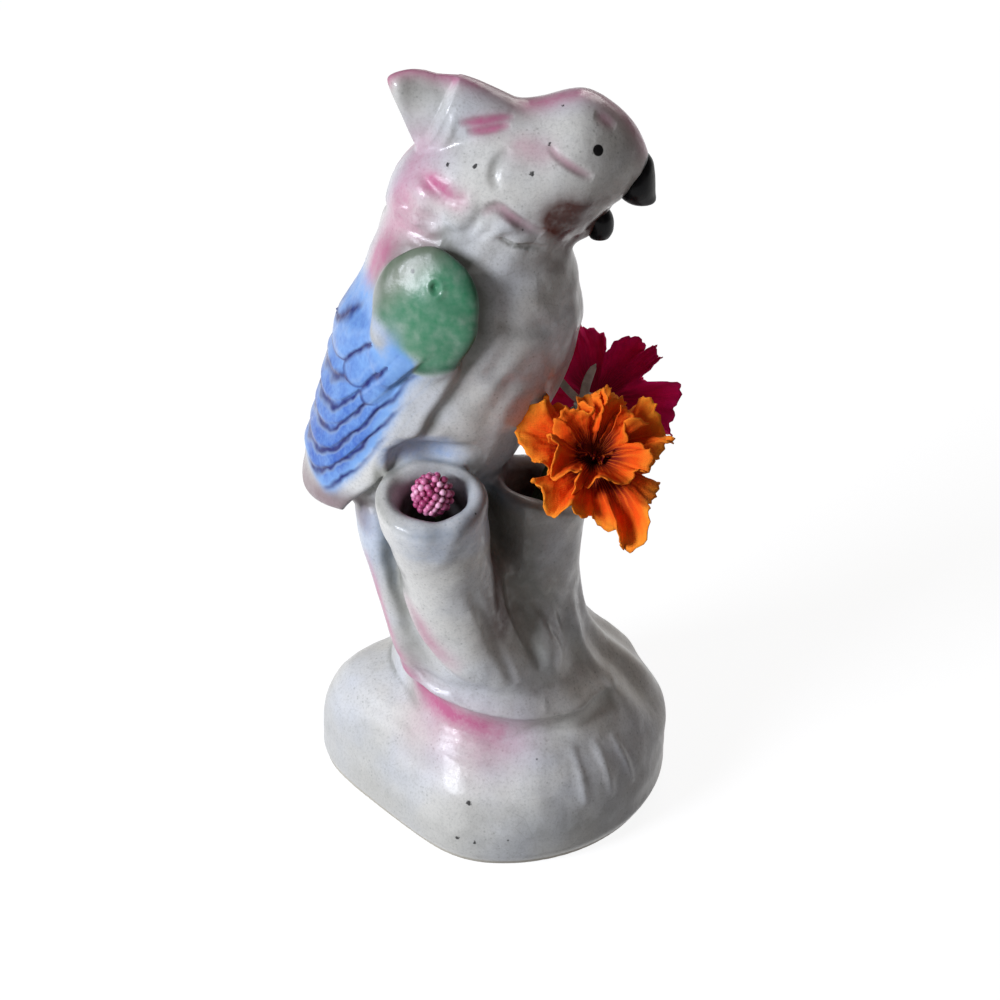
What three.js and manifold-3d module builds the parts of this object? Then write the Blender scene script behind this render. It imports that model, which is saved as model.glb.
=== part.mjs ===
// Ceramic cockatoo on a tree stump: a glazed figurine whose two hollow branches hold cloth flowers.
// Millimetres, +Z up, +X the way the bird faces, -Y its right-hand side. The origin is the foot's middle.
import * as THREE from "three";
import { mergeVertices } from "three/addons/utils/BufferGeometryUtils.js";
import Module from "manifold-3d";

const wasm = await Module();
wasm.setup();

// Driving dimensions of the foot and the stump
const LUTE_GAP = 0.3;
const MOUND_RADIUS = 33;
const MOUND_BACK = 25;
const MOUND_HEIGHT = 24.3;
const FOOT_FLAT = 29;
const FOOT_FLAT_ANGLE = -2.44;
const FOOT_SHOULDER = 0.6;
const STUMP_HEIGHT = 65;
const STUMP_TOP_RADIUS = 11;
const STUMP_ROOT_RADIUS = 19;

// Driving dimensions of the two hollow branches
const FRONT_MOUTH_HEIGHT = 76.4;
const FRONT_MOUTH_BACK = 11;
const FRONT_MOUTH_CLEAR = 5.5;
const FLOWER_MOUTH_HEIGHT = 67.5;
const FLOWER_MOUTH_REACH = 8;
const FLOWER_MOUTH_SIDE = 5.5;
const MOUTH_RADIUS = 9.8;
const BRANCH_RADIUS = 8.4;
const BORE_RADIUS = 6.3;
const BORE_TAPER = 1;
const BORE_DEPTH = 25;
const LIP_RADIUS = 17;
const BARK_RIBS = 9;
const BARK_DEPTH = 0.06;

// Driving dimensions of the bird
const PERCH_HEIGHT = 61;
const BODY_HEIGHT = 60;
const BODY_LENGTH = 40.6;
const BODY_WIDTH = 37;
const HEAD_LENGTH = 40;
const HEAD_HEIGHT = 27;
const HEAD_WIDTH = 25;
const HEAD_FORWARD = 6;
const HEAD_SINK = 4;
const CREST_LENGTH = 26;
const CREST_RISE = 18.3;
const CREST_THICKNESS = 13;
const BEAK_LENGTH = 9.5;
const BEAK_WIDTH = 9;
const JAW_LENGTH = 5.9;
const JAW_WIDTH = 6;
const WING_THICKNESS = 1.6;
const FEATHER_COUNT = 4;
const FEATHER_WIDTH = 2.05;
const FEATHER_STEP = 4.4;
const FEATHER_LEAN = 0.889;
const GROOVE_WIDTH = 0.8;
const GROOVE_DEPTH = 0.6;
const SHOULDER_RADIUS = 9;
const SHOULDER_RISE = 2;
const TAIL_LENGTH = 40;
const TAIL_WIDTH = 24;
const TAIL_THICKNESS = 10.6;

// Driving dimensions of the cloth flowers and the berry pick
const STEM_DIAMETER = 1.6;
const STEM_SEAT = 0.3;
const PETAL_THICKNESS = 0.5;
const PETAL_CLEAR = 11;
const ORANGE_RADIUS = 13;
const MAGENTA_RADIUS = 12.6;
const RUFFLE = 1.5;
const RUFFLE_COUNT = 9;
const PETAL_COUNT = 6;
const PETAL_NOTCH = 0.14;
const CALYX_RADIUS = 2.5;
const CALYX_LENGTH = 6;
const BEAD_DIAMETER = 2;
const BEAD_COUNT = 34;
const BERRY_DIAMETER = 8;
const WIRE_DIAMETER = 1.2;

const X = new THREE.Vector3(1, 0, 0);
const Y = new THREE.Vector3(0, 1, 0);
const Z = new THREE.Vector3(0, 0, 1);
const vec = (x, y, z) => new THREE.Vector3(x, y, z);

// Solids: merging, joining and cutting

function solid(geometry) {
  const bare = geometry.clone();
  for (const name of Object.keys(bare.attributes)) if (name !== "position") bare.deleteAttribute(name);
  const merged = mergeVertices(bare, 1e-4);
  const vertProperties = new Float32Array(merged.attributes.position.array);
  const triVerts = new Uint32Array(merged.index.array);
  return new wasm.Manifold(new wasm.Mesh({ numProp: 3, vertProperties, triVerts }));
}

// The largest body of a solid, as a cut can leave thin loose slivers behind.
function largest(body) {
  return body.decompose().reduce((best, piece) => (piece.volume() > best.volume() ? piece : best));
}

function cut(body, ...tools) {
  return largest(tools.reduce((left, tool) => left.subtract(tool), body));
}

function join(first, ...others) {
  return others.reduce((whole, other) => whole.add(other), first);
}

function geometryOf(body) {
  const mesh = body.getMesh();
  const geometry = new THREE.BufferGeometry();
  geometry.setAttribute("position", new THREE.BufferAttribute(mesh.vertProperties, 3));
  geometry.setIndex(new THREE.BufferAttribute(mesh.triVerts, 1));
  geometry.computeVertexNormals();
  return geometry;
}

// A closed grid: point(u, v) with v going round, and a pole at each end.
function closedGrid(point, rings, sides, poles) {
  const positions = [];
  for (let i = 0; i < rings; i++) {
    for (let j = 0; j < sides; j++) positions.push(...point(i / (rings - 1), j / sides).toArray());
  }
  const pole = rings * sides;
  positions.push(...poles[0].toArray(), ...poles[1].toArray());
  const faces = [];
  for (let j = 0; j < sides; j++) {
    const next = (j + 1) % sides;
    const top = (rings - 1) * sides;
    faces.push(pole, next, j, pole + 1, top + j, top + next);
    for (let low = 0; low < top; low += sides) {
      const high = low + sides;
      faces.push(low + j, low + next, high + next, low + j, high + next, high + j);
    }
  }
  const geometry = new THREE.BufferGeometry();
  geometry.setAttribute("position", new THREE.Float32BufferAttribute(positions, 3));
  geometry.setIndex(faces);
  return geometry;
}

// A form carried along a spine of elliptical sections. The sections of a standing form are level, and may
// slope; those of a form that lies along X are upright. Ribs run down a form between two heights.
class Form {
  constructor(rows, { lying = false, sides = 22, rings = 14, ribs = null } = {}) {
    [this.across, this.sideways, this.along] = lying ? [Y, Z, X] : [X, Y, Z];
    Object.assign(this, { sides, rings, ribs });
    const through = (points) => new THREE.CatmullRomCurve3(points, false, "catmullrom", 0.5);
    this.centres = new THREE.CatmullRomCurve3(rows.map((r) => r.at));
    this.sizes = through(rows.map((r) => vec(r.a, r.b, 0)));
    this.slopes = through(rows.map((r) => vec(r.slopeA, r.slopeB, 0)));
  }

  // The skin's point at share u of the length and share v of a turn, grown outwards by a distance.
  point(u, v, grow = 0) {
    const angle = 2 * Math.PI * v;
    const size = this.sizes.getPoint(u);
    const slope = this.slopes.getPoint(u);
    const swell = this.ribs ? 1 + this.ribDepth(u) * Math.cos(this.ribs.count * angle) : 1;
    const a = (swell * size.x + grow) * Math.cos(angle);
    const b = (swell * size.y + grow) * Math.sin(angle);
    return this.middle(u, grow)
      .addScaledVector(this.across, a)
      .addScaledVector(this.sideways, b)
      .addScaledVector(this.along, slope.x * a + slope.y * b);
  }

  ribDepth(u) {
    const { depth, low, high, fade } = this.ribs;
    const height = this.centres.getPoint(u).z;
    const rise = THREE.MathUtils.smoothstep(height, low, low + fade);
    return depth * rise * (1 - THREE.MathUtils.smoothstep(height, high - fade, high));
  }

  middle(u, grow = 0) {
    return this.centres.getPoint(u).addScaledVector(this.along, grow * (2 * u - 1));
  }

  solid(grow = 0) {
    const poles = [this.middle(0, grow), this.middle(1, grow)];
    return solid(closedGrid((u, v) => this.point(u, v, grow), this.rings, this.sides, poles));
  }
}

const level = (z, x, y, a, b, slopeA = 0, slopeB = 0) => ({ at: vec(x, y, z), a, b, slopeA, slopeB });
const upright = (x, z, width, height) => ({ at: vec(x, 0, z), a: width, b: height, slopeA: 0, slopeB: 0 });

// Foot and stump

// The foot's plan is round, with one flattened side at the front left.
function footRadius(angle) {
  const chord = FOOT_FLAT / Math.max(Math.cos(angle - FOOT_FLAT_ANGLE), 0.1);
  return (MOUND_RADIUS ** -10 + chord ** -10) ** (-1 / 10);
}

// Rows of [share of the plan radius, share of the height], from the flat foot to the crown of the mound,
// which is boxier behind the tail.
const MOUND_PROFILE = [
  [0.955, 0], [1, 0.14], [1, 0.29], [0.97, 0.46], [0.9, 0.64], [0.78, 0.8], [0.58, 0.925], [0.3, 0.985],
];
function moundSolid(grow = 0) {
  const point = (u, v) => {
    const [share, rise] = MOUND_PROFILE[Math.round(u * (MOUND_PROFILE.length - 1))];
    const angle = 2 * Math.PI * v;
    const boxy = FOOT_SHOULDER * Math.max(-Math.cos(angle), 0) ** 4;
    const radius = share ** (1 - boxy) * footRadius(angle) + grow;
    const depth = Math.sin(angle) > 0 ? MOUND_BACK / MOUND_RADIUS : 1;
    const height = rise * MOUND_HEIGHT + (rise > 0 ? grow : 0);
    return vec(radius * Math.cos(angle), depth * radius * Math.sin(angle), height);
  };
  return solid(closedGrid(point, MOUND_PROFILE.length, 32, [vec(0, 0, 0), vec(0, 0, MOUND_HEIGHT + grow)]));
}

const stumpForm = new Form([
  level(MOUND_HEIGHT - 11, -2, 2, STUMP_ROOT_RADIUS, STUMP_ROOT_RADIUS),
  level(MOUND_HEIGHT, -2, 2.5, STUMP_ROOT_RADIUS - 1, STUMP_ROOT_RADIUS - 1),
  level(MOUND_HEIGHT + 10, -3, 3, STUMP_TOP_RADIUS + 4, STUMP_TOP_RADIUS + 4),
  level((MOUND_HEIGHT + STUMP_HEIGHT) / 2, -4, 3, STUMP_TOP_RADIUS + 2, STUMP_TOP_RADIUS + 2),
  level(STUMP_HEIGHT - 9, -6, 2.5, STUMP_TOP_RADIUS + 0.6, STUMP_TOP_RADIUS + 0.6),
  level(STUMP_HEIGHT, -9.5, 1.5, STUMP_TOP_RADIUS - 2, STUMP_TOP_RADIUS - 2),
], { sides: 18, rings: 8 });

// Hollow branches: each has a rounded mouth that slopes, and a tapered bore down its middle.
const FRONT_MOUTH_SIDE = BODY_WIDTH / 2 + FRONT_MOUTH_CLEAR;
const FRONT_SLOPE = 0.26;
const frontMouth = vec(-FRONT_MOUTH_BACK, -FRONT_MOUTH_SIDE, FRONT_MOUTH_HEIGHT);
const frontAt = (drop, x, y, a, b, slope = 0) =>
  level(FRONT_MOUTH_HEIGHT - drop, frontMouth.x + x, frontMouth.y + y, a, b, 0, slope);
const frontForm = new Form([
  level(MOUND_HEIGHT - 6.3, 2, -10.5, LIP_RADIUS + 1.5, LIP_RADIUS - 1.5, -0.1),
  level(MOUND_HEIGHT - 2.3, 1.9, -10.6, LIP_RADIUS - 0.8, LIP_RADIUS - 4, -0.12),
  level(MOUND_HEIGHT + 1.2, 1.8, -10.8, LIP_RADIUS - 1.6, LIP_RADIUS - 4.8, -0.13),
  level(MOUND_HEIGHT + 3.9, 1.4, -11.1, LIP_RADIUS - 0.4, LIP_RADIUS - 3.8, -0.14),
  level(MOUND_HEIGHT + 4.6, 1.2, -11.2, LIP_RADIUS + 0.3, LIP_RADIUS - 3.2, -0.14),
  level(MOUND_HEIGHT + 5.3, 0.9, -11.4, LIP_RADIUS, LIP_RADIUS - 3.4, -0.15),
  level(MOUND_HEIGHT + 6.8, 0.1, -11.9, LIP_RADIUS - 2, LIP_RADIUS - 4.6, -0.15),
  level(MOUND_HEIGHT + 8.9, -1.1, -12.6, BRANCH_RADIUS + 4.2, BRANCH_RADIUS + 2.8, -0.12),
  level(MOUND_HEIGHT + 12, -2.8, -14, BRANCH_RADIUS + 3, BRANCH_RADIUS + 2.4, -0.06),
  level(MOUND_HEIGHT + 18.7, -5.5, -15.6, BRANCH_RADIUS + 1.1, BRANCH_RADIUS + 1),
  frontAt(20, 3, 5.6, BRANCH_RADIUS, BRANCH_RADIUS),
  frontAt(9, 1, 2.2, BRANCH_RADIUS + 0.2, BRANCH_RADIUS - 0.2, FRONT_SLOPE / 2),
  frontAt(3, 0.2, 0.4, MOUTH_RADIUS - 0.1, MOUTH_RADIUS - 0.6, FRONT_SLOPE),
  frontAt(1, 0, 0, MOUTH_RADIUS, MOUTH_RADIUS - 0.5, FRONT_SLOPE),
  frontAt(0, 0, 0, MOUTH_RADIUS - 1, MOUTH_RADIUS - 1.5, FRONT_SLOPE),
], { sides: 22, rings: 31 });

// The hollow over the front mouth, where the belly and the wing are cut back to let a stem in.
const nicheForm = new Form([
  frontAt(5, 0.2, 1, MOUTH_RADIUS - 0.8, MOUTH_RADIUS - 1.4, FRONT_SLOPE),
  frontAt(0, 0, 0, MOUTH_RADIUS, MOUTH_RADIUS - 0.5, FRONT_SLOPE),
  frontAt(-3, -0.2, -0.2, MOUTH_RADIUS - 0.8, MOUTH_RADIUS - 0.9, FRONT_SLOPE),
  frontAt(-5, -0.6, -0.6, MOUTH_RADIUS - 3, MOUTH_RADIUS - 2, FRONT_SLOPE),
], { sides: 18, rings: 7 });

const FLOWER_SLOPE = -0.35;
const flowerMouth = vec(FLOWER_MOUTH_REACH, -FLOWER_MOUTH_SIDE, FLOWER_MOUTH_HEIGHT);
const flowerAt = (drop, x, y, a, b, slope = 0) =>
  level(FLOWER_MOUTH_HEIGHT - drop, flowerMouth.x + x, flowerMouth.y + y, a, b, slope, 0);
const flowerForm = new Form([
  level(MOUND_HEIGHT - 13, 14, 1, MOUND_RADIUS / 2 + 2, MOUND_RADIUS / 2 + 3.5),
  level(MOUND_HEIGHT - 7, 13.8, 1, MOUND_RADIUS / 2 + 1.7, MOUND_RADIUS / 2 + 3),
  level(MOUND_HEIGHT - 1, 12.3, 0.5, BRANCH_RADIUS + 6.6, BRANCH_RADIUS + 8),
  level(MOUND_HEIGHT + 5, 10.4, -0.5, BRANCH_RADIUS + 3, BRANCH_RADIUS + 5.4),
  level(MOUND_HEIGHT + 11, 8.9, -1.8, BRANCH_RADIUS + 0.8, BRANCH_RADIUS + 2.8),
  flowerAt(23.5, 0, 2.5, BRANCH_RADIUS - 0.6, BRANCH_RADIUS + 0.8),
  flowerAt(14, -0.2, 1.5, BRANCH_RADIUS - 0.5, BRANCH_RADIUS + 0.2),
  flowerAt(4.5, -0.2, 0.3, MOUTH_RADIUS - 1, MOUTH_RADIUS - 1, FLOWER_SLOPE * 0.7),
  flowerAt(1, 0, 0, MOUTH_RADIUS, MOUTH_RADIUS - 0.4, FLOWER_SLOPE),
  flowerAt(0, 0, 0, MOUTH_RADIUS - 1, MOUTH_RADIUS - 1.4, FLOWER_SLOPE),
], { sides: 36, rings: 16, ribs: { count: BARK_RIBS, depth: BARK_DEPTH, low: 12, high: 48, fade: 9 } });

// A tapered bore that runs from above a mouth down to its blind end.
function boreForm(mouth, lean) {
  const above = 6;
  const row = (depth, radius) =>
    level(mouth.z - depth, mouth.x - lean.x * depth, mouth.y - lean.y * depth, radius, radius * 0.92);
  return new Form([
    row(-above, BORE_RADIUS + 0.8), row(0, BORE_RADIUS), row(BORE_DEPTH / 2, BORE_RADIUS - BORE_TAPER / 2),
    row(BORE_DEPTH - 1, BORE_RADIUS - BORE_TAPER), row(BORE_DEPTH, BORE_RADIUS - BORE_TAPER - 1),
  ].reverse(), { sides: 20, rings: 6 });
}
const FRONT_LEAN = vec(-0.12, -0.27, 1);
const FLOWER_LEAN = vec(0, -0.1, 1);
const frontBore = boreForm(frontMouth, FRONT_LEAN);
const flowerBore = boreForm(flowerMouth, FLOWER_LEAN);

// The tail hangs behind the front branch and sweeps round to its lip.
const tailRow = (share, back, side, width, thickness) => level(PERCH_HEIGHT + 5 - share * TAIL_LENGTH,
  back * BODY_LENGTH, side, (thickness * TAIL_THICKNESS) / 2, (width * TAIL_WIDTH) / 2);
const tailForm = new Form([
  tailRow(1, -0.37, -6, 0.75, 0.7),
  tailRow(0.9, -0.38, -6.5, 0.92, 0.87),
  tailRow(0.7, -0.414, -6.5, 1, 0.92),
  tailRow(0.45, -0.46, -6, 1, 0.98),
  tailRow(0.2, -0.515, -4, 1, 1.04),
  tailRow(0, -0.517, -2, 0.92, 0.94),
], { sides: 20, rings: 9 });

// The bird

const bodyRow = (share, lean, length, width) => {
  const height = PERCH_HEIGHT + share * BODY_HEIGHT;
  return level(height, lean * BODY_LENGTH, 0, (length * BODY_LENGTH) / 2, (width * BODY_WIDTH) / 2);
};
const bodyForm = new Form([
  bodyRow(0, -0.33, 0.32, 0.38),
  bodyRow(0.05, -0.362, 0.6, 0.62),
  bodyRow(0.13, -0.36, 0.79, 0.81),
  bodyRow(0.25, -0.308, 0.92, 0.93),
  bodyRow(0.4, -0.222, 0.995, 0.995),
  bodyRow(0.53, -0.16, 1.015, 1),
  bodyRow(0.65, -0.118, 0.99, 0.973),
  bodyRow(0.75, -0.099, 0.916, 0.897),
  bodyRow(0.85, -0.092, 0.835, 0.778),
  bodyRow(0.95, -0.075, 0.78, 0.66),
  bodyRow(1, -0.07, 0.62, 0.5),
], { sides: 26, rings: 17 });

// How far forward the belly comes at a height, which the near flower keeps clear of.
function bellyFront(height) {
  let share = 0;
  while (share < 1 && bodyForm.point(share, 0).z < height) share += 0.02;
  return bodyForm.point(share, 0).x;
}

const headMiddle = vec(HEAD_FORWARD, 0, PERCH_HEIGHT + BODY_HEIGHT + HEAD_SINK);
const headRow = (share, rise, height, width) => {
  const at = headMiddle.clone().add(vec(share * HEAD_LENGTH, 0, rise * HEAD_HEIGHT));
  return upright(at.x, at.z, (width * HEAD_WIDTH) / 2, (height * HEAD_HEIGHT) / 2);
};
const headForm = new Form([
  headRow(-0.6, -0.2, 0.1, 0.2),
  headRow(-0.56, -0.19, 0.34, 0.56),
  headRow(-0.35, -0.11, 0.815, 0.92),
  headRow(-0.15, -0.055, 0.926, 1.02),
  headRow(0.05, 0, 0.978, 1),
  headRow(0.2, 0.08, 0.907, 0.92),
  headRow(0.325, 0.126, 0.681, 0.704),
  headRow(0.425, 0.122, 0.415, 0.432),
  headRow(0.48, 0.089, 0.178, 0.208),
], { lying: true, sides: 22, rings: 17 });

// The throat under the beak, which carries the lower beak.
const throatForm = new Form([
  headRow(0.1125, -0.278, 0.289, 0.336),
  headRow(0.2, -0.296, 0.311, 0.312),
  headRow(0.25, -0.281, 0.289, 0.248),
  headRow(0.2875, -0.244, 0.222, 0.2),
  headRow(0.325, -0.204, 0.141, 0.176),
  headRow(0.3475, -0.189, 0.067, 0.096),
], { lying: true, sides: 16, rings: 9 });

const CREST_TIP = headMiddle.x - HEAD_LENGTH * 0.5875;
const crestRow = (share, rise, height, thickness) => {
  const top = headMiddle.z + rise * CREST_RISE;
  const half = (thickness * CREST_THICKNESS) / 2;
  return upright(CREST_TIP + share * CREST_LENGTH, top, half, height * CREST_RISE);
};
const crestForm = new Form([
  crestRow(0, 0.896, 0.033, 0.12),
  crestRow(0.058, 0.798, 0.17, 0.37),
  crestRow(0.154, 0.634, 0.366, 0.52),
  crestRow(0.288, 0.503, 0.47, 0.71),
  crestRow(0.48, 0.42, 0.475, 0.92),
  crestRow(0.75, 0.459, 0.3, 1),
  crestRow(1, 0.49, 0.19, 0.77),
], { lying: true, sides: 18, rings: 12 });

const beakRoot = vec(headMiddle.x + HEAD_LENGTH / 2 - 3, 0, headMiddle.z + 3.9);
const beakRow = (share, x, length, width) =>
  level(beakRoot.z - share * BEAK_LENGTH, beakRoot.x + x, 0, length, (width * BEAK_WIDTH) / 2);
const beakForm = new Form([
  beakRow(1, 1.9, 0.5, 0.1),
  beakRow(0.95, 1.8, 2.3, 0.5),
  beakRow(0.81, 1.1, 3.1, 0.8),
  beakRow(0.6, 0.9, 3.2, 1),
  beakRow(0.37, 1.3, 2.6, 0.94),
  beakRow(0.16, 1.5, 1.9, 0.67),
  beakRow(0, 1.5, 0.8, 0.27),
], { sides: 16, rings: 13 });

const jawRoot = vec(headMiddle.x + 9.6, 0, headMiddle.z - 6.4);
const jawRow = (share, x, length, width) =>
  level(jawRoot.z - share * JAW_LENGTH, jawRoot.x + x, 0, length, (width * JAW_WIDTH) / 2);
const jawForm = new Form([
  jawRow(1, 2.3, 0.4, 0.13),
  jawRow(0.92, 2.3, 1.7, 0.58),
  jawRow(0.61, 2.4, 2.3, 0.93),
  jawRow(0.27, 2.1, 2.4, 1),
  jawRow(0, 1.6, 2, 0.8),
], { sides: 16, rings: 9 });

// The wings are a cloak over the back and flanks, parted down the middle and trimmed to the folded feathers.
const cloakRow = (share, back, front, width) => {
  const middle = ((front + back) * BODY_LENGTH) / 2;
  const length = ((front - back) * BODY_LENGTH) / 2;
  const half = (width * BODY_WIDTH) / 2 + WING_THICKNESS;
  return level(PERCH_HEIGHT + share * BODY_HEIGHT, middle, 0, length, half);
};
const cloakForm = new Form([
  cloakRow(-0.035, -0.8, -0.5, 0.25),
  cloakRow(0.01, -0.84, -0.3, 0.55),
  cloakRow(0.07, -0.86, -0.12, 0.74),
  cloakRow(0.15, -0.85, 0.02, 0.86),
  cloakRow(0.27, -0.815, 0.17, 0.945),
  cloakRow(0.4, -0.765, 0.3, 1),
  cloakRow(0.53, -0.71, 0.37, 1),
  cloakRow(0.65, -0.65, 0.39, 0.975),
  cloakRow(0.78, -0.56, 0.38, 0.87),
  cloakRow(0.9, -0.52, 0.36, 0.72),
], { sides: 30, rings: 15 });

// A shape in the side view, carried through one flank.
function throughFlank(shape, side, curveSegments) {
  const prism = new THREE.ExtrudeGeometry(shape, { depth: BODY_WIDTH, bevelEnabled: false, curveSegments });
  prism.rotateX(Math.PI / 2);
  prism.translate(0, side > 0 ? BODY_WIDTH + LUTE_GAP / 2 : -LUTE_GAP / 2, 0);
  return solid(prism);
}

// The groove round the edge of one long feather: a narrow J that runs down the flank and turns to the back.
// Its places are measured along and across the feathers from the middle of the shoulder.
function featherGroove(index) {
  const at = (along, across) => [
    shoulderAt(-1).x - 1 - Math.cos(FEATHER_LEAN) * along + Math.sin(FEATHER_LEAN) * across,
    shoulderAt(-1).z - Math.sin(FEATHER_LEAN) * along - Math.cos(FEATHER_LEAN) * across,
  ];
  const half = GROOVE_WIDTH / 2;
  const turn = 2 * FEATHER_WIDTH;
  const side = 1.5 + FEATHER_WIDTH * index;
  const end = SHOULDER_RADIUS * 3.13 + FEATHER_STEP * index;
  const start = SHOULDER_RADIUS * 2.1;
  const back = -SHOULDER_RADIUS - FEATHER_STEP;
  const groove = new THREE.Shape();
  groove.moveTo(...at(start, side + half));
  groove.lineTo(...at(end - turn, side + half));
  groove.quadraticCurveTo(...at(end + half, side + half), ...at(end + half, side - turn));
  groove.lineTo(...at(end + half, back));
  groove.lineTo(...at(end - half, back));
  groove.lineTo(...at(end - half, side - turn));
  groove.quadraticCurveTo(...at(end - half, side - half), ...at(end - turn, side - half));
  groove.lineTo(...at(start, side - half));
  groove.closePath();
  return groove;
}

function wingSolid(side) {
  const tip = cloakForm.middle(0).z;
  const height = cloakForm.middle(1).z - tip;
  const outline = new THREE.Shape();
  const at = ([x, z]) => new THREE.Vector2(x * BODY_LENGTH, tip + z * height);
  const front = [[-0.22, 0.96], [-0.13, 0.87], [-0.14, 0.72], [-0.28, 0.5], [-0.47, 0.29], [-0.66, 0.12]];
  const back = [[-0.82, 0.085], [-0.9, 0.16], [-0.88, 0.4], [-0.66, 0.8]];
  outline.moveTo(...at([-0.34, 0.99]).toArray());
  outline.splineThru(front.map(at));
  outline.splineThru(back.map(at));
  outline.closePath();
  const folded = cloakForm.solid().intersect(throughFlank(outline, side, 4));
  const under = cloakForm.solid(-GROOVE_DEPTH);
  const grooves = Array.from({ length: FEATHER_COUNT }, (_, i) => {
    return throughFlank(featherGroove(i - 1), side, 3).subtract(under);
  });
  return cut(folded, ...grooves);
}

const shoulderAt = (side) => bodyForm.point(0.722, side < 0 ? 0.69 : 0.31);
function shoulderSolid(side, grow = 0) {
  const dome = new THREE.SphereGeometry(1, 20, 12);
  dome.scale(SHOULDER_RADIUS + grow, WING_THICKNESS + SHOULDER_RISE + grow, SHOULDER_RADIUS * 1.18 + grow);
  const at = shoulderAt(side);
  dome.rotateX(side * 0.22);
  dome.rotateZ(side * 0.36);
  dome.translate(at.x, at.y, at.z);
  return solid(dome);
}

// Seating order: the foot and the hollow branches keep their skins, and each neighbour is cut back from them.
const mound = moundSolid();
const moundClear = moundSolid(LUTE_GAP);
const frontBranch = cut(frontForm.solid(), moundClear, frontBore.solid());
const frontClear = frontForm.solid(LUTE_GAP);
const niche = nicheForm.solid();
const birdBody = cut(bodyForm.solid(), frontClear, frontBore.solid(), niche);
const bodyClear = bodyForm.solid(LUTE_GAP);
const flowerBranch = cut(flowerForm.solid(), moundClear, bodyClear, frontClear, flowerBore.solid());
const flowerClear = flowerForm.solid(LUTE_GAP);
const stump = cut(stumpForm.solid(), moundClear, frontClear, flowerClear, bodyClear);
const stumpClear = stumpForm.solid(LUTE_GAP);
const tail = cut(tailForm.solid(), moundClear, bodyClear, stumpClear, frontClear);
const tailClear = tailForm.solid(LUTE_GAP);
const head = cut(join(headForm.solid(), throatForm.solid()), bodyClear);
const headClear = join(headForm.solid(LUTE_GAP), throatForm.solid(LUTE_GAP));
const crest = cut(crestForm.solid(), headClear, bodyClear);
const upperBeak = cut(beakForm.solid(), headClear);
const lowerBeak = cut(jawForm.solid(), headClear, bodyClear);

function wingPair(side) {
  const shoulderClear = shoulderSolid(side, LUTE_GAP);
  const clear = [bodyClear, shoulderClear, frontClear, stumpClear, tailClear, headClear, niche];
  const wing = cut(wingSolid(side), ...clear);
  const shoulder = cut(shoulderSolid(side), bodyClear, headClear, frontClear);
  return { wing, shoulder };
}
const right = wingPair(-1);
const left = wingPair(1);

// Cloth flowers and the berry pick

// The frame of a flower head: its Z axis is the way the flower opens, from the foot of its petals.
function headFrame(at, axis) {
  const turn = new THREE.Quaternion().setFromUnitVectors(Z, axis.clone().normalize());
  return new THREE.Matrix4().compose(at, turn, vec(1, 1, 1));
}

// One layer of petals: a bowl of cloth, notched between the petals, with a ruffled rim, open to one side.
function petalSolid(frame, radius, rise, lift, open) {
  const rings = 4;
  const surface = (share, angle) => {
    const ruffle = RUFFLE * share ** 3 * Math.cos(RUFFLE_COUNT * angle);
    return lift + rise * (1 + open * Math.sin(angle)) * share ** 1.5 + ruffle;
  };
  const point = (u, v) => {
    const i = Math.round(u * (2 * rings - 1));
    const share = (i < rings ? i + 1 : 2 * rings - i) / rings;
    const angle = 2 * Math.PI * v;
    const notch = 1 - PETAL_NOTCH * share * (0.5 + 0.5 * Math.cos(PETAL_COUNT * angle)) ** 3;
    const reach = radius * share * notch;
    const slope = (1.5 * rise * Math.sqrt(share)) / radius;
    const z = surface(share, angle) - (i < rings ? PETAL_THICKNESS * Math.hypot(1, slope) : 0);
    return vec(reach * Math.cos(angle), reach * Math.sin(angle), z);
  };
  const poles = [vec(0, 0, lift - PETAL_THICKNESS), vec(0, 0, lift)];
  const bowl = closedGrid(point, 2 * rings, 4 * RUFFLE_COUNT, poles);
  return solid(bowl.applyMatrix4(frame));
}

// The cup under the petals, with narrow leaves that stand out from it.
function calyxSolid(frame, leaves) {
  const top = -PETAL_THICKNESS - LUTE_GAP;
  const profile = [
    [0, -CALYX_LENGTH], [STEM_DIAMETER * 0.7, -CALYX_LENGTH], [CALYX_RADIUS * 0.8, -CALYX_LENGTH * 0.6],
    [CALYX_RADIUS, top - 0.6], [CALYX_RADIUS * 0.9, top], [0, top],
  ];
  const turned = new THREE.LatheGeometry(profile.map(([r, z]) => new THREE.Vector2(r, z)), 14);
  const cup = solid(turned.rotateX(Math.PI / 2));
  const leaf = new THREE.Shape();
  leaf.moveTo(0.8, -0.9);
  leaf.quadraticCurveTo(CALYX_RADIUS * 2, -1.5, CALYX_RADIUS * 2.7, 0);
  leaf.quadraticCurveTo(CALYX_RADIUS * 2, 1.5, 0.8, 0.9);
  leaf.closePath();
  const strips = Array.from({ length: leaves }, (_, i) => {
    const thin = { depth: PETAL_THICKNESS, bevelEnabled: false, curveSegments: 4 };
    const strip = new THREE.ExtrudeGeometry(leaf, thin);
    strip.rotateY(-0.25).translate(0, 0, top - 2.2).rotateZ((2 * Math.PI * i) / leaves);
    return solid(strip);
  });
  return solid(geometryOf(join(cup, ...strips)).applyMatrix4(frame));
}

function rodSolid(path, diameter, steps) {
  const round = new THREE.Shape().absarc(0, 0, diameter / 2, 0, 2 * Math.PI);
  const curve = new THREE.CatmullRomCurve3(path);
  const swept = { extrudePath: curve, steps, curveSegments: 4, bevelEnabled: false };
  return solid(new THREE.ExtrudeGeometry(round, swept));
}

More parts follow.
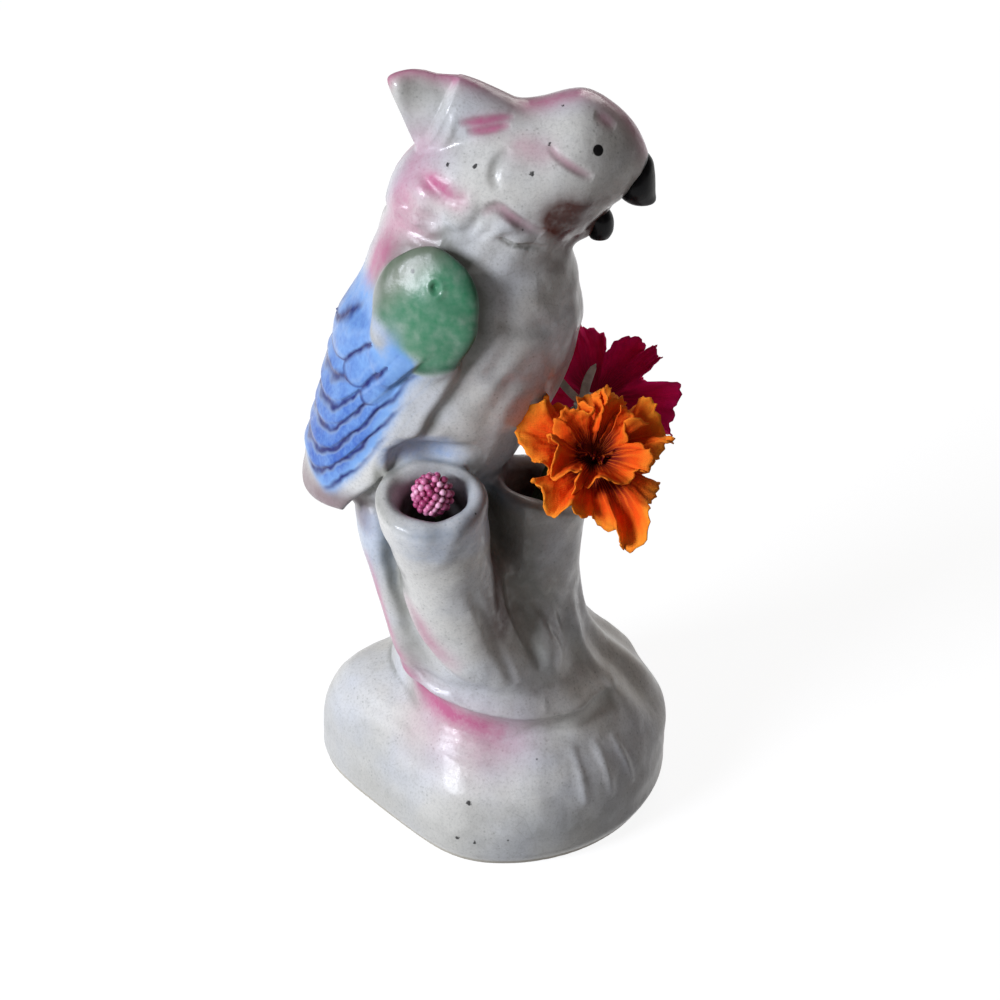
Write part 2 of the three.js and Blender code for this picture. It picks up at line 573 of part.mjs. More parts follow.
// A stem stands straight in its bore, leans on the wall, and bends above the mouth towards its flower head.
function stemSolid(foot, pull, frame) {
  const along = (distance) => foot.clone().addScaledVector(pull, distance);
  const end = vec(0, 0, -CALYX_LENGTH - LUTE_GAP).applyMatrix4(frame);
  const before = vec(0, 0, -CALYX_LENGTH - LUTE_GAP - 3).applyMatrix4(frame);
  return rodSolid([foot, along(8), along(16), before, end], STEM_DIAMETER, 14);
}

const boreMiddle = (mouth, lean, depth) => mouth.clone().addScaledVector(lean, -depth);
const STEM_DEPTH = BORE_DEPTH * 0.6;
const wallReach = BORE_RADIUS - BORE_TAPER * 0.6 - STEM_DIAMETER / 2 - STEM_SEAT;
const stemFoot = boreMiddle(flowerMouth, FLOWER_LEAN, STEM_DEPTH);
const ORANGE_PULL = vec(0.36, -0.16, 0.92).normalize();
const orangeRise = 9.8;
const orangeReach = Math.max(10.6, bellyFront(flowerMouth.z + orangeRise) + PETAL_CLEAR - flowerMouth.x);
const orangeFrame = headFrame(flowerMouth.clone().add(vec(orangeReach, -9, orangeRise)), vec(0.2, -0.25, 0.95));
const orangeFoot = stemFoot.clone().add(vec(-wallReach * 0.93, -0.9, 0));
const MAGENTA_PULL = vec(0.36, 0.04, 0.93).normalize();
const magentaFrame = headFrame(flowerMouth.clone().add(vec(10.8, 13.5, 13)), vec(0.38, 0.88, -0.1));
const magentaFoot = stemFoot.clone().add(vec(-wallReach * 0.93, 1.2, 0));

const BERRY_PULL = vec(-0.1, -0.344, 0.934).normalize();
const frontFloor = boreMiddle(frontMouth, FRONT_LEAN, BORE_DEPTH - STEM_SEAT);
const berryFoot = frontFloor.add(vec(0, BORE_RADIUS * 0.42, 0));
const berryMiddle = berryFoot.clone().addScaledVector(BERRY_PULL, BORE_DEPTH + 0.6);

// Beads packed in a spiral on a round core.
function berrySolid() {
  const reach = (BERRY_DIAMETER - BEAD_DIAMETER) / 2;
  const core = solid(new THREE.IcosahedronGeometry(reach * 0.9, 1));
  const beads = Array.from({ length: BEAD_COUNT }, (_, i) => {
    const rise = 1 - (2 * i + 1) / BEAD_COUNT;
    const turn = i * Math.PI * (3 - Math.sqrt(5));
    const wide = Math.sqrt(1 - rise * rise);
    const bead = new THREE.IcosahedronGeometry(BEAD_DIAMETER / 2);
    return solid(bead.translate(reach * wide * Math.cos(turn), reach * wide * Math.sin(turn), reach * rise));
  });
  return join(core, ...beads).translate(berryMiddle.toArray());
}
const berryEnd = berryFoot.clone().addScaledVector(BERRY_PULL, BORE_DEPTH - BERRY_DIAMETER / 2);
const berries = berrySolid();

// Glazes and cloths: colour and roughness, with a material of its own for each piece
const IVORY = [0xd9d8d2, 0.18];
const BLUE = [0x5f78c4, 0.18];
const GREEN = [0x4f8d68, 0.18];
const BLACK = [0x17171a, 0.18];
const ORANGE = [0xd8591c, 0.9];
const MAGENTA = [0xa31a4a, 0.9];
const BEIGE = [0xb8ab98, 0.9];
const STALK = [0x5d7a45, 0.9];

const figurine = new THREE.Group();
function add(name, body, [color, roughness]) {
  const material = new THREE.MeshStandardMaterial({ color, roughness, metalness: 0 });
  const mesh = new THREE.Mesh(geometryOf(body), material);
  mesh.name = name;
  figurine.add(mesh);
}
add("base_mound", mound, IVORY);
add("stump", stump, IVORY);
add("front_branch", frontBranch, IVORY);
add("flower_branch", flowerBranch, IVORY);
add("tail", tail, IVORY);
add("bird_body", birdBody, IVORY);
add("head", head, IVORY);
add("crest", crest, IVORY);
add("upper_beak", upperBeak, BLACK);
add("lower_beak", lowerBeak, BLACK);
add("right_wing", right.wing, BLUE);
add("left_wing", left.wing, BLUE);
add("right_shoulder", right.shoulder, GREEN);
add("left_shoulder", left.shoulder, GREEN);

function addFlower(name, frame, foot, pull, { radius, open, leaves, petals, cup }) {
  add(name + "_outer_petals", petalSolid(frame, radius, radius * 0.32, 0, open), petals);
  add(name + "_middle_petals", petalSolid(frame, radius * 0.86, radius * 0.55, 1.3, open), petals);
  add(name + "_inner_petals", petalSolid(frame, radius * 0.62, radius * 0.62, 2.6, open), petals);
  add(name + "_calyx", calyxSolid(frame, leaves), cup);
  add(name + "_stem", stemSolid(foot, pull, frame), STALK);
}
const orangeLook = { radius: ORANGE_RADIUS, open: 0.6, leaves: 0, petals: ORANGE, cup: STALK };
const magentaLook = { radius: MAGENTA_RADIUS, open: 0, leaves: 5, petals: MAGENTA, cup: BEIGE };
addFlower("orange", orangeFrame, orangeFoot, ORANGE_PULL, orangeLook);
addFlower("magenta", magentaFrame, magentaFoot, MAGENTA_PULL, magentaLook);
add("berry_cluster", berries, [0xe98fae, 0.4]);
add("berry_wire", rodSolid([berryFoot, berryEnd], WIRE_DIAMETER, 4), STALK);

export default figurine;
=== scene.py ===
"""Glazed cockatoo on a tree stump, with two cloth carnations and a beaded pick in its hollow branches."""

import math

import bpy
import numpy as np
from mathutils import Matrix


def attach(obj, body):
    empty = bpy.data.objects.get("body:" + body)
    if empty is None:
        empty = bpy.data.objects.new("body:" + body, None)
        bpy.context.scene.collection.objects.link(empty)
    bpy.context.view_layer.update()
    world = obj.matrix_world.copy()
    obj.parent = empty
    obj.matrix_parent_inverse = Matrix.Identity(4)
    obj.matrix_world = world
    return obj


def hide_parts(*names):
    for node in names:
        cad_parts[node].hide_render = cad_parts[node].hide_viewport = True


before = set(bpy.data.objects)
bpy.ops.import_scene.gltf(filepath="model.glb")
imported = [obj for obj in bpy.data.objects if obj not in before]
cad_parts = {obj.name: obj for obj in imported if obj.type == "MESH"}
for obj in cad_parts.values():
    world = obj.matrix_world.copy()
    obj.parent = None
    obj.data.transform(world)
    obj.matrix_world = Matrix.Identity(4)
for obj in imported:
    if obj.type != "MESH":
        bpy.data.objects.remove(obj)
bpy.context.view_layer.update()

# Lengths are in millimetres, and new_piece turns them into metres

MM = 0.001
PER_METRE = 1000
TINY = 1e-6
WALL = 0.9
BARK_DEPTH = 0.06
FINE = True
CELL = 1.06 if FINE else 1.6
CLAY_LOW, CLAY_HIGH = (-37, -35, -1.2), (36, 27, 145.5)


# Clay forms: elliptical sections carried along a spine


def hermite(table, s):
    """Columns of a table at the stations s: cubic Hermite spans, slopes held to twice the flatter secant."""
    knots, values = table[:, 0], table[:, 1:]
    secant = np.abs(np.diff(values, axis=0) / np.diff(knots)[:, None])
    flatter = np.vstack([secant[:1], np.minimum(secant[1:], secant[:-1]), secant[-1:]])
    slopes = np.clip(np.gradient(values, knots, axis=0), -2 * flatter, 2 * flatter)
    i = np.clip(np.searchsorted(knots, s) - 1, 0, len(knots) - 2)
    span = (knots[1:] - knots[:-1])[i]
    t = np.clip((s - knots[i]) / span, 0, 1)
    h0, h1 = (1 + 2 * t) * (1 - t) ** 2, t * t * (3 - 2 * t)
    g0, g1 = span * t * (1 - t) ** 2, span * t * t * (t - 1)
    return [h0 * v[i] + h1 * v[i + 1] + g0 * m[i] + g1 * m[i + 1] for v, m in zip(values.T, slopes.T)]


def smooth_union(a, b, k):
    """The smaller of two distances, rounded over a fillet of width k."""
    h = np.maximum(k - np.abs(a - b), 0) / k
    return np.minimum(a, b) - h * h * k / 4


def smooth_cut(a, b, k):
    """The larger of two distances, rounded over an edge of width k."""
    return -smooth_union(-a, -b, k)


def step(a, low, high):
    """Smooth step from 0 at low to 1 at high."""
    t = np.clip((a - low) / (high - low), 0, 1)
    return t * t * (3 - 2 * t)


def round_max(a, b, c):
    """The larger of two numbers, plus c h^3 / 6, with h = 1 - |a - b| / c where they are near each other."""
    h = np.maximum(c - np.abs(a - b), 0) / c
    return np.maximum(a, b) + h**3 * c / 6


class Form:
    """Rows of station, two centres, two radii and two slopes; stations run up Z, or along X if it lies."""

    def __init__(self, rows, lying=False, edge=0.8, ribs=0):
        self.table = np.array(rows, float)
        self.lying = lying
        self.edge = edge
        self.ribs = ribs

    def distance(self, x, y, z):
        """k (k - 1) / |grad k^2 / 2|, with k the share of the section's ellipse, and flat, eased ends."""
        s, p, q = (x, y, z) if self.lying else (z, x, y)
        if self.table.shape[1] > 5:
            c = hermite(self.table, s)
            s = s - c[4] * (p - c[0]) - c[5] * (q - c[1])
        cp, cq, rp, rq = hermite(self.table, s)[:4]
        u, v = (p - cp) / rp, (q - cq) / rq
        k = np.sqrt(u * u + v * v + TINY)
        if self.ribs:
            shown = step(s, 12, 21) * (1 - step(s, 39, 48))
            k = k / (1 + BARK_DEPTH * shown * np.cos(self.ribs * np.arctan2(v, u)))
        skin = k * (k - 1) / np.sqrt((u / rp) ** 2 + (v / rq) ** 2 + TINY / (rp * rq))
        return smooth_cut(skin, np.maximum(self.table[0, 0] - s, s - self.table[-1, 0]), self.edge)


BODY = Form([
    (61, -13.4, 0, 6.5, 7), (64, -14.7, 0, 12.2, 11.5), (68.8, -14.6, 0, 16, 15),
    (76, -12.5, 0, 18.7, 17.2), (85, -9, 0, 20.2, 18.4), (92.8, -6.5, 0, 20.6, 18.5),
    (100, -4.8, 0, 20.1, 18), (106, -4, 0, 18.6, 16.6), (112, -3.7, 0, 17, 14.4),
    (118, -3, 0, 15.8, 12.2), (121, -2.8, 0, 12.6, 9.2),
])
HEAD = Form([
    (-18.6, 0, 120.8, 0.8, 0.6), (-18.2, 0, 120.8, 2.5, 1.4), (-16.6, 0, 120.9, 7, 4.6),
    (-8, 0, 122, 11.5, 11), (0, 0, 123.5, 12.7, 12.5), (8, 0, 125, 12.5, 12.8),
    (14, 0, 127.2, 11.5, 12.2), (19, 0, 128.4, 8.8, 9.2), (23, 0, 128.3, 5.4, 5.6),
    (25.2, 0, 127.4, 2.6, 2.4), (26, 0, 127, 0.6, 0.6),
], lying=True)
THROAT = Form([
    (10.5, 0, 117.5, 4.2, 3.9), (14, 0, 117, 3.9, 4.2), (16, 0, 117.4, 3.1, 3.9), (17.5, 0, 118.4, 2.5, 3),
    (19, 0, 119.5, 2.2, 1.9), (19.9, 0, 119.9, 1.2, 0.9),
], lying=True)
CREST = Form([
    (-17.6, 0, 141.5, 0.6, 0.5), (-16, 0, 139.8, 2.4, 2.9), (-13.5, 0, 137, 3.4, 6.3),
    (-10, 0, 134.2, 4.6, 8.6), (-5, 0, 132.7, 6, 9.3), (1, 0, 133.2, 6.3, 6), (5, 0, 133.4, 5.6, 3.9),
    (8.5, 0, 133.6, 4, 2.6), (10, 0, 133.6, 2, 1.2),
], lying=True)
CLOAK = Form([
    (58.9, -26.4, 0, 6.1, 6.2), (61.6, -23.1, 0, 11, 11.8), (65.2, -19.9, 0, 15, 15.3),
    (70, -16.9, 0, 17.6, 17.5), (77.2, -13.1, 0, 20, 19.1), (85, -9.4, 0, 21.6, 20.1),
    (92.8, -6.9, 0, 21.9, 20.1), (100, -5.3, 0, 21.1, 19.6), (107.8, -3.6, 0, 18.8, 17.7),
    (115, -2.6, 0, 16.7, 14.9), (120, -2.4, 0, 14.8, 12.2),
])
TAIL = Form([
    (26, -12.6, -5, 3, 7), (30, -13.4, -5.4, 3, 8.4), (34, -14.8, -6.2, 3.3, 10.9),
    (38, -16, -6.5, 3.6, 11.9), (48, -18.1, -6, 3.9, 12), (58, -20.4, -4, 4.4, 12), (66, -21, -2, 5, 11),
])
STUMP = Form([
    (13, -2, 2, 19, 19), (24.3, -2, 2.5, 18, 18), (34.3, -3, 3, 15, 15), (44.7, -4, 3, 13, 13),
    (56, -6, 2.5, 11.6, 11.6), (65, -9.5, 1.5, 9, 9),
])
FRONT = Form([
    (18, 2, -10.5, 18.5, 15.5, -0.1, 0), (22, 1.9, -10.6, 16.2, 13, -0.12, 0),
    (25.5, 1.8, -10.8, 15.4, 12.2, -0.16, 0), (28.2, 1.4, -11.1, 16.6, 13.2, -0.2, 0),
    (28.9, 1.2, -11.2, 17.2, 13.7, -0.2, 0), (29.6, 0.9, -11.4, 17, 13.6, -0.2, 0),
    (31.1, 0.1, -11.9, 15.3, 12.6, -0.2, 0), (33.2, -1.1, -12.6, 13, 11.4, -0.16, 0),
    (36.3, -2.8, -14, 11.4, 10.8, -0.06, 0), (43, -5.5, -15.6, 9.5, 9.4, 0, 0),
    (54, -7.6, -17.8, 8.5, 8.5, 0, 0), (64, -9.4, -20.8, 8.8, 8.5, 0, 0.1),
    (71, -10.5, -22.9, 9.4, 9, 0, 0.22), (76.4, -11, -24, 9.8, 9.3, 0, 0.26),
], edge=3)
FLOWER = Form([
    (8, 14, 1, 17, 18.5, 0, 0), (11.3, 14, 1, 18.5, 20, 0, 0), (17.3, 13.8, 1, 16.4, 19, 0, 0),
    (23.3, 12.3, 0.5, 13.6, 16, 0, 0), (29.3, 10.4, -0.5, 10.2, 13.4, 0, 0),
    (35.3, 8.9, -1.8, 8.5, 11, 0, 0), (44, 8, -3, 7.8, 9.2, 0, 0), (53.5, 7.8, -4, 7.9, 8.6, 0, 0),
    (63, 7.8, -5.2, 8.8, 8.8, -0.25, 0), (67.5, 8, -5.5, 9.8, 9.4, -0.35, 0),
], edge=2.4, ribs=9)


BORE_ROWS = [(25, 5.2), (12.5, 5.7), (0, 6.2), (-6, 7)]


def bore(mouth, lean):
    """Ellipses of the bore's radii at its depths below a mouth, whose middles lean as they go down."""
    x, y, z = mouth
    sections = [(z - d, x - lean[0] * d, y - lean[1] * d, r, 0.92 * r) for d, r in BORE_ROWS]
    return Form(sections, edge=2)


NICHE = Form([
    (71.4, -10.8, -23, 9, 8.4, 0, 0.26), (76.4, -11, -24, 9.9, 9.4, 0, 0.26),
    (79.4, -11.2, -24.2, 9, 8.9, 0, 0.26), (81.4, -11.6, -24.6, 6.8, 7.8, 0, 0.26),
], edge=3)
FRONT_BORE = bore((-11, -24, 76.4), (-0.12, -0.27))
FLOWER_BORE = bore((8, -5.5, 67.5), (0, -0.1))

MOUND_PROFILE = np.array([
    (-1, 0.95), (0, 0.955), (3.4, 1), (7, 1), (11.2, 0.97), (15.6, 0.9), (19.4, 0.78), (22.5, 0.58),
    (23.9, 0.3), (24.4, 0.05),
])


MOUND_RADIUS, MOUND_REAR, MOUND_CHORD, MOUND_TOP = 33, 25, 28.4, 24.3


def mound_distance(x, y, z):
    """The round foot: a plan radius that swells to the left and the front right, cut by a chord at the front
    left, times the profile's share at z, which is raised to a lower power behind the tail."""
    deep = np.where(y > 0, y * (MOUND_RADIUS / MOUND_REAR), y)
    angle = np.arctan2(deep, x)
    left = np.maximum(-np.cos(angle), 0)
    radius = MOUND_RADIUS + 1.4 * left**8 + 0.9 * np.maximum(np.cos(angle + 1.1), 0) ** 4
    chord = MOUND_CHORD / np.maximum(np.cos(angle + 2.44), 0.1)
    plan = (radius**-14 + chord**-14) ** (-1 / 14)
    share = hermite(MOUND_PROFILE, z)[0] ** (1 - 0.5 * left**4)
    return np.maximum((np.hypot(x, deep) - plan * share) * 0.8, z - MOUND_TOP)


WING_TIP = (-33, 64.9)
WING_FRONT = np.array([
    (60, -29), (65.6, -26.8), (75.2, -19.1), (87, -11.4), (99.3, -5.7), (107.7, -5.3), (113, -8),
    (118, -16),
])


def wing_outside(x, z):
    """Distance outside the folded wing's outline: past its front edge, or under its tip."""
    front = hermite(WING_FRONT, z)[0]
    return np.maximum((x - front) * 0.8, WING_TIP[1] - z + 0.12 * (x - WING_TIP[0]))


DOME_MIDDLE = (-11.1, -16.4, 107.4)
DOME_RADII = (9.2, 2.8, 10.8)
DOME_SQUARES = [round(radius * radius, 1) for radius in DOME_RADII]
DOME_TURN, DOME_LEAN = 0.36, 0.22


def turned(a, b, angle):
    """Two coordinates after a turn by an angle."""
    c, s = math.cos(angle), math.sin(angle)
    return c * a - s * b, s * a + c * b


def shoulder_distance(x, side, z):
    """The oval dome at the top of a wing, turned and leant with the flank: k (k - 1) / |grad k^2 / 2|, with k
    the share of the ellipsoid's radii."""
    u, v = turned(x - DOME_MIDDLE[0], side - DOME_MIDDLE[1], DOME_TURN)
    v, w = turned(v, z - DOME_MIDDLE[2], DOME_LEAN)
    a, b, c = DOME_RADII
    k = np.sqrt((u / a) ** 2 + (v / b) ** 2 + (w / c) ** 2 + TINY)
    a, b, c = DOME_SQUARES
    return k * (k - 1) / np.sqrt((u / a) ** 2 + (v / b) ** 2 + (w / c) ** 2 + TINY)


FORMS = {
    "stump": STUMP, "front_branch": FRONT, "flower_branch": FLOWER, "tail": TAIL, "bird_body": BODY,
    "crest": CREST,
}
PARTS = (
    "base_mound", "stump", "front_branch", "flower_branch", "tail", "bird_body", "head", "crest", "wing",
    "shoulder",
)


def clay(x, y, z):
    """The blended casting and its parts' distances: fillets where clay was smoothed over, bores cut out."""
    d = {name: form.distance(x, y, z) for name, form in FORMS.items()}
    d["base_mound"] = mound_distance(x, y, z)
    d["head"] = smooth_union(HEAD.distance(x, y, z), THROAT.distance(x, y, z), 1.5)
    d["wing"] = smooth_cut(CLOAK.distance(x, y, z), wing_outside(x, z), 2.0)
    d["shoulder"] = shoulder_distance(x, -np.abs(y), z)
    bird, rear = d["bird_body"], 4.5 * step(-x, 13, 20)
    for part, fillet in (("head", 2.2), ("wing", 1.0), ("shoulder", 2.0 + rear), ("crest", 1.4)):
        bird = smooth_union(bird, d[part], fillet)
    bird = smooth_cut(bird, -NICHE.distance(x, y, z), 2.5)
    trunk = smooth_union(d["stump"], d["flower_branch"], 5.0)
    trunk = smooth_union(trunk, d["base_mound"], 3.5)
    limb = smooth_union(d["front_branch"], d["tail"], 5.0)
    fillet = 1.2 + 3.0 * (1 - step(z, 21, 26)) + 7.0 * step(z, 29, 40) + 7.0 * step(x, 0, 9)
    trunk = smooth_union(trunk, limb, fillet)
    for hole in (FRONT_BORE, FLOWER_BORE):
        trunk = smooth_cut(trunk, -hole.distance(x, y, z), 2.4)
    whole = smooth_union(trunk, bird, 2.0)
    return smooth_cut(whole, -z, 0.6), d


def lumps(p, scale, seed=0.0):
    """Soft bumps from -1 to 1: a product of sines whose phases wander with the point."""
    x, y, z = (p / scale).T
    a = np.sin(1.9 * x + 0.8 * y + 1.4 * np.sin(1.1 * z + 0.7 * y + seed) + seed)
    b = np.sin(2.1 * z - 0.6 * x + 1.3 * np.sin(1.3 * x + 0.9 * y + 2 * seed) + 1.7 * seed)
    return a * b


# Feather rows, in the side view: the relief and the colours share these formulas

FEATHER_MIDDLE, FEATHER_WAY = (-12, 107), (-0.63, -0.777)
LONG_START, LONG_WIDTH = 1.5, 2.05
LONG_END, LONG_STEP = 28.2, 4.4
LONG_BEND = 2.6
SHORT_START, SHORT_WIDTH = -2.8, 3.9
SHORT_END, SHORT_BULGE = 20.5, 1.8


def feather_places(x, z):
    """Along and across the long feathers, from the middle of the shoulder dome: a turn in the side view."""
    dx, dz = x - FEATHER_MIDDLE[0], z - FEATHER_MIDDLE[1]
    a, b = FEATHER_WAY
    return a * dx + b * dz, -b * dx + a * dz


def long_rows(u, v):
    """Rows across and rows along: the larger, rounded, is a nest of feathers with J-shaped edges."""
    return (v - LONG_START) / LONG_WIDTH, (u - LONG_END) / LONG_STEP


def short_rows(v):
    """Rows across the short feathers, which lie over the long ones."""
    return (v - SHORT_START) / SHORT_WIDTH


def short_end(share, u):
    """How far it is to a short feather's round end, at a share of its width: a parabola."""
    bulge = 2 * share - 1
    return SHORT_END - SHORT_BULGE * bulge * bulge - u


def past_long(u, v):
    """How far a point lies across, less a share of how far it is along past 12 mm."""
    return v - 0.35 * np.maximum(u - 12, 0)


def plumage(x, z):
    """Feather relief: shingles that rise to each long feather's edge, under rounded short feathers."""
    u, v = feather_places(x, z)
    order = round_max(*long_rows(u, v), LONG_BEND)
    f = order - np.floor(order)
    long = 0.5 * f * (1 - step(f, 0.7, 1))
    share = short_rows(v) - np.floor(short_rows(v))
    end = short_end(share, u)
    short = 0.25 + 0.5 * np.sqrt(np.maximum(1 - (2 * share - 1) ** 2, 0)) * step(end, -0.2, 2.5)
    over = step(end, -0.3, 0.5) * (1 - step(v, 3.6, 5.2))
    long = long * (1 - step(order, 2.7, 3.3)) * (1 - step(past_long(u, v), 2.5, 4.5))
    return long * (1 - over) + short * over


# Lines on the skin, by their corners


CREST_LINES = [
    [(-6, -5.4, 136.1), (-1.5, -5.5, 136.7), (3.4, -4.5, 137.3)],
    [(-4.7, -5.9, 134.8), (-0.7, -6.2, 135.4), (2.7, -5.8, 136.3)],
]
EAR_FOLD = [(2.4, -9, 133.4), (0.6, -9.9, 131.6), (-0.2, -11.3, 129.2), (0.6, -12, 127)]
CHEEK_LINE = [
    (8.7, -9.2, 134.1), (10, -10.4, 132.7), (11.6, -11.1, 131.6), (13.9, -11.4, 130.2),
    (16.4, -10.9, 128.7),
]
BROW_LINE = [(16.2, -5.2, 137.6), (18, -5, 136.7), (19.9, -5, 135.2)]
NECK_FOLD = [
    (-1.8, -12.4, 122.4), (-1.2, -12.6, 123.9), (0.4, -12.7, 124.4), (2.5, -12.7, 122.8),
    (5.8, -12, 120.2), (8, -11, 119),
]
CHIN_FOLD = [(-0.4, -12.4, 119.8), (3.2, -12.6, 117.6), (6, -11.6, 116.8), (9, -10, 115.6)]
NAPE_FOLDS = [
    [(-12.5, -6, 128.6), (-10.2, -9, 126.4), (-6.5, -11.3, 125.2), (-4, -12, 125.8)],
    [(-15.5, -4, 124.5), (-12.8, -9, 122), (-8.5, -11.8, 121.2)],
    [(-16.5, -6, 120.2), (-13, -10.2, 118.6), (-9, -12.5, 118)],
]
RUFF = [(-3, -13, 121.5), (2, -13.2, 119.6), (6.5, -12, 116.8)]
CHEST_FOLDS = [
    [(-4, -14.6, 114), (2, -15.4, 111.5), (8, -13.4, 110.5)],
    [(0, -17, 106), (6, -15.6, 103), (11, -11.5, 102.5)],
    [(-2, -18.4, 97), (4, -17.4, 93), (9.5, -12.8, 92)],
]
FACET_EDGE = [(-6.3, -4.8, 137.7), (-8, -5.4, 133.2), (-9.8, -4.9, 131.4)]
VALLEY = [(-0.6, -18.8, 66), (-0.2, -18.4, 57.5), (0.6, -19.6, 52), (1.3, -20.4, 47)]
BARK_GROOVES = [
    [(-4.5, -26.8, 59), (-2.4, -24.4, 52), (-0.2, -23, 45.1), (1.8, -22.9, 39.9), (3.8, -23, 35)],
    [(1.8, -14.7, 53.3), (3.2, -16.4, 47.8), (4.7, -17.3, 43.7), (6.5, -18.1, 39.8), (8.7, -18.7, 35.5)],
    [(5.6, -14.3, 51.4), (7, -14.5, 49), (9.1, -14.3, 45.3), (11.1, -14, 41.1), (13.1, -12.6, 35.5)],
    [
        (9.8, -13.1, 49.1), (12.3, -11.5, 42.2), (14.6, -11, 36.4), (17.3, -10.1, 30.9), (19.8, -11.3, 27.4),
        (24, -13.8, 19.9),
    ],
]
TRUNK_LINE = [
    (-16.9, -17, 54.8), (-15.5, -20.2, 51.2), (-14.1, -21.3, 47), (-11.6, -22.8, 42.9),
    (-8.1, -24.3, 39.6), (-3.6, -25, 37.9),
]
GUTTER = [
    (-20.1, -15, 61), (-17.9, -16.5, 54.5), (-16.5, -18.6, 50.1), (-14.2, -20.6, 44.2),
    (-10.6, -22.9, 39.7), (-4.5, -24, 34.9), (2.7, -23.6, 31.8), (9.1, -22.3, 29.5),
]
LIP = [
    (-17.3, -18.5, 38.2), (-14.1, -18.5, 34.6), (-11.3, -20.8, 31.8), (-8, -22.5, 31.9),
    (-5.6, -24, 30.6), (-2, -24.8, 29.9),
]
SHELF = [(-11.3, -19, 22.3), (-7.4, -21.7, 22.3), (-3.7, -23.3, 22), (-0.6, -24.1, 21.7)]
FOOT_RIBS = [
    [
        (14 + 4.3 * i, -22.9 + 2.4 * i, 21.2),
        (15.3 + 4.9 * i, -26 + 2.7 * i, 16.4),
        (16.6 + 5.4 * i, -28.6 + 3.1 * i, 11),
    ]
    for i in range(3)
]
FOOT_CORE = [
    (-18.5, -15.8, 38.5), (-16.8, -15.7, 33.2), (-14.4, -15.7, 28.5), (-10.2, -18.4, 27), (-6.5, -21, 26.2),
    (-1.9, -22.6, 24.9), (2, -23, 23.7),
]
TRUNK_SEAM = [
    (-16.2, -19, 52.9), (-14, -22.1, 49.7), (-12, -23.1, 44.9), (-8, -24.5, 41.1), (-5.4, -25, 39.2),
]
TAIL_SEAM = [
    (-23.4, -13, 58), (-21.4, -15, 51.5), (-20, -16, 45), (-18.6, -17.4, 39.5), (-17.3, -18.3, 36),
]
BEAK_EDGE = np.array([
    (117, 26), (119.4, 23.2), (120, 22.2), (122, 20.8), (123.8, 22.9), (126.2, 24.2), (128.5, 25.3),
    (130, 28),
])


def smooth_casting(p):
    """The casting's skin before its relief, for points in rows."""
    return clay(*p.T)[0]


def on_skin(path):
    """A path's corners as points 1.2 mm apart, brought on to the casting's skin."""
    corners = np.array(path, float)
    reach = np.r_[0, np.cumsum(np.linalg.norm(np.diff(corners, axis=0), axis=1))]
    at = np.linspace(0, reach[-1], int(reach[-1] / 1.2) + 3)
    dots = np.stack(hermite(np.column_stack([reach, corners]), at), 1)
    return settle(smooth_casting, dots, 6)


def near(p, dots, width, fade=0.0):
    """How close points are to a line through dots: exp(-(distance / width)^2), fading to both ends."""
    out = np.zeros(len(p))
    reach = 2.6 * width
    close = np.flatnonzero(((p > dots.min(0) - reach) & (p < dots.max(0) + reach)).all(1))
    if len(close):
        q, a, ab = p[close], dots[:-1], np.diff(dots, axis=0)
        long = (ab * ab).sum(1)
        along = q @ ab.T - (a * ab).sum(1)
        t = np.clip(along / long, 0, 1)
        d2 = (q * q).sum(1)[:, None] - 2 * q @ a.T + (a * a).sum(1) - 2 * t * along + t * t * long
        each, which = np.arange(len(close)), d2.argmin(1)
        share = (which + t[each, which]) / len(a)
        out[close] = np.exp(-np.maximum(d2[each, which], 0) / width**2) * (4 * share * (1 - share)) ** fade
    return out


def slope_of(field, p, reach=0.15):
    """Gradient of a field by central differences."""
    steps = np.eye(3) * reach
    return np.stack([(field(p + s) - field(p - s)) / (2 * reach) for s in steps], 1)


def settle(field, p, rounds=4):
    """Newton steps that bring points on to a field's zero surface, each at most 0.6 mm long."""
    steps = np.eye(3) * 0.1
    for _ in range(rounds):
        f = field(p)
        g = np.stack([(field(p + s) - f) / 0.1 for s in steps], 1)
        move = -f[:, None] * g / np.maximum((g * g).sum(1), 0.05)[:, None]
        length = np.linalg.norm(move, axis=1, keepdims=True)
        p = p + move * np.minimum(1, 0.6 / np.maximum(length, 1e-9))
    return p


def strokes(fade, *table):
    """Lines on the skin, from rows of a strength, a width and paths, that fade to their ends by a power."""
    return [(amount, width, fade, on_skin(path)) for amount, width, *paths in table for path in paths]


def laid(p, lines):
    """The sum of lines at points: each line's strength times how close the point is to it."""
    return sum(amount * near(p, dots, width, fade) for amount, width, fade, dots in lines)


BIRD_RELIEF = strokes(
    0.9, (-0.5, 0.6, *CREST_LINES), (-0.6, 0.9, EAR_FOLD), (-0.6, 0.65, CHEEK_LINE), (-0.35, 1.1, BROW_LINE),
    (-1.0, 0.85, NECK_FOLD), (-0.5, 0.5, CHIN_FOLD), (-0.65, 1.2, *NAPE_FOLDS), (0.9, 2.2, RUFF),
    (-0.5, 1.6, *CHEST_FOLDS), (0.45, 0.7, FACET_EDGE),
)
STUMP_RELIEF = strokes(
    0.7, (-0.7, 2.2, VALLEY), (-0.75, 1.1, *BARK_GROOVES), (0.45, 0.8, TRUNK_LINE), (-0.8, 1.5, GUTTER),
    (0.35, 0.6, LIP), (0.4, 0.9, SHELF), (0.4, 1.0, *FOOT_RIBS),
)


def mirrored_side(p):
    """Points brought on to the near side of the bird."""
    return np.stack([p[:, 0], -np.abs(p[:, 1]), p[:, 2]], 1)


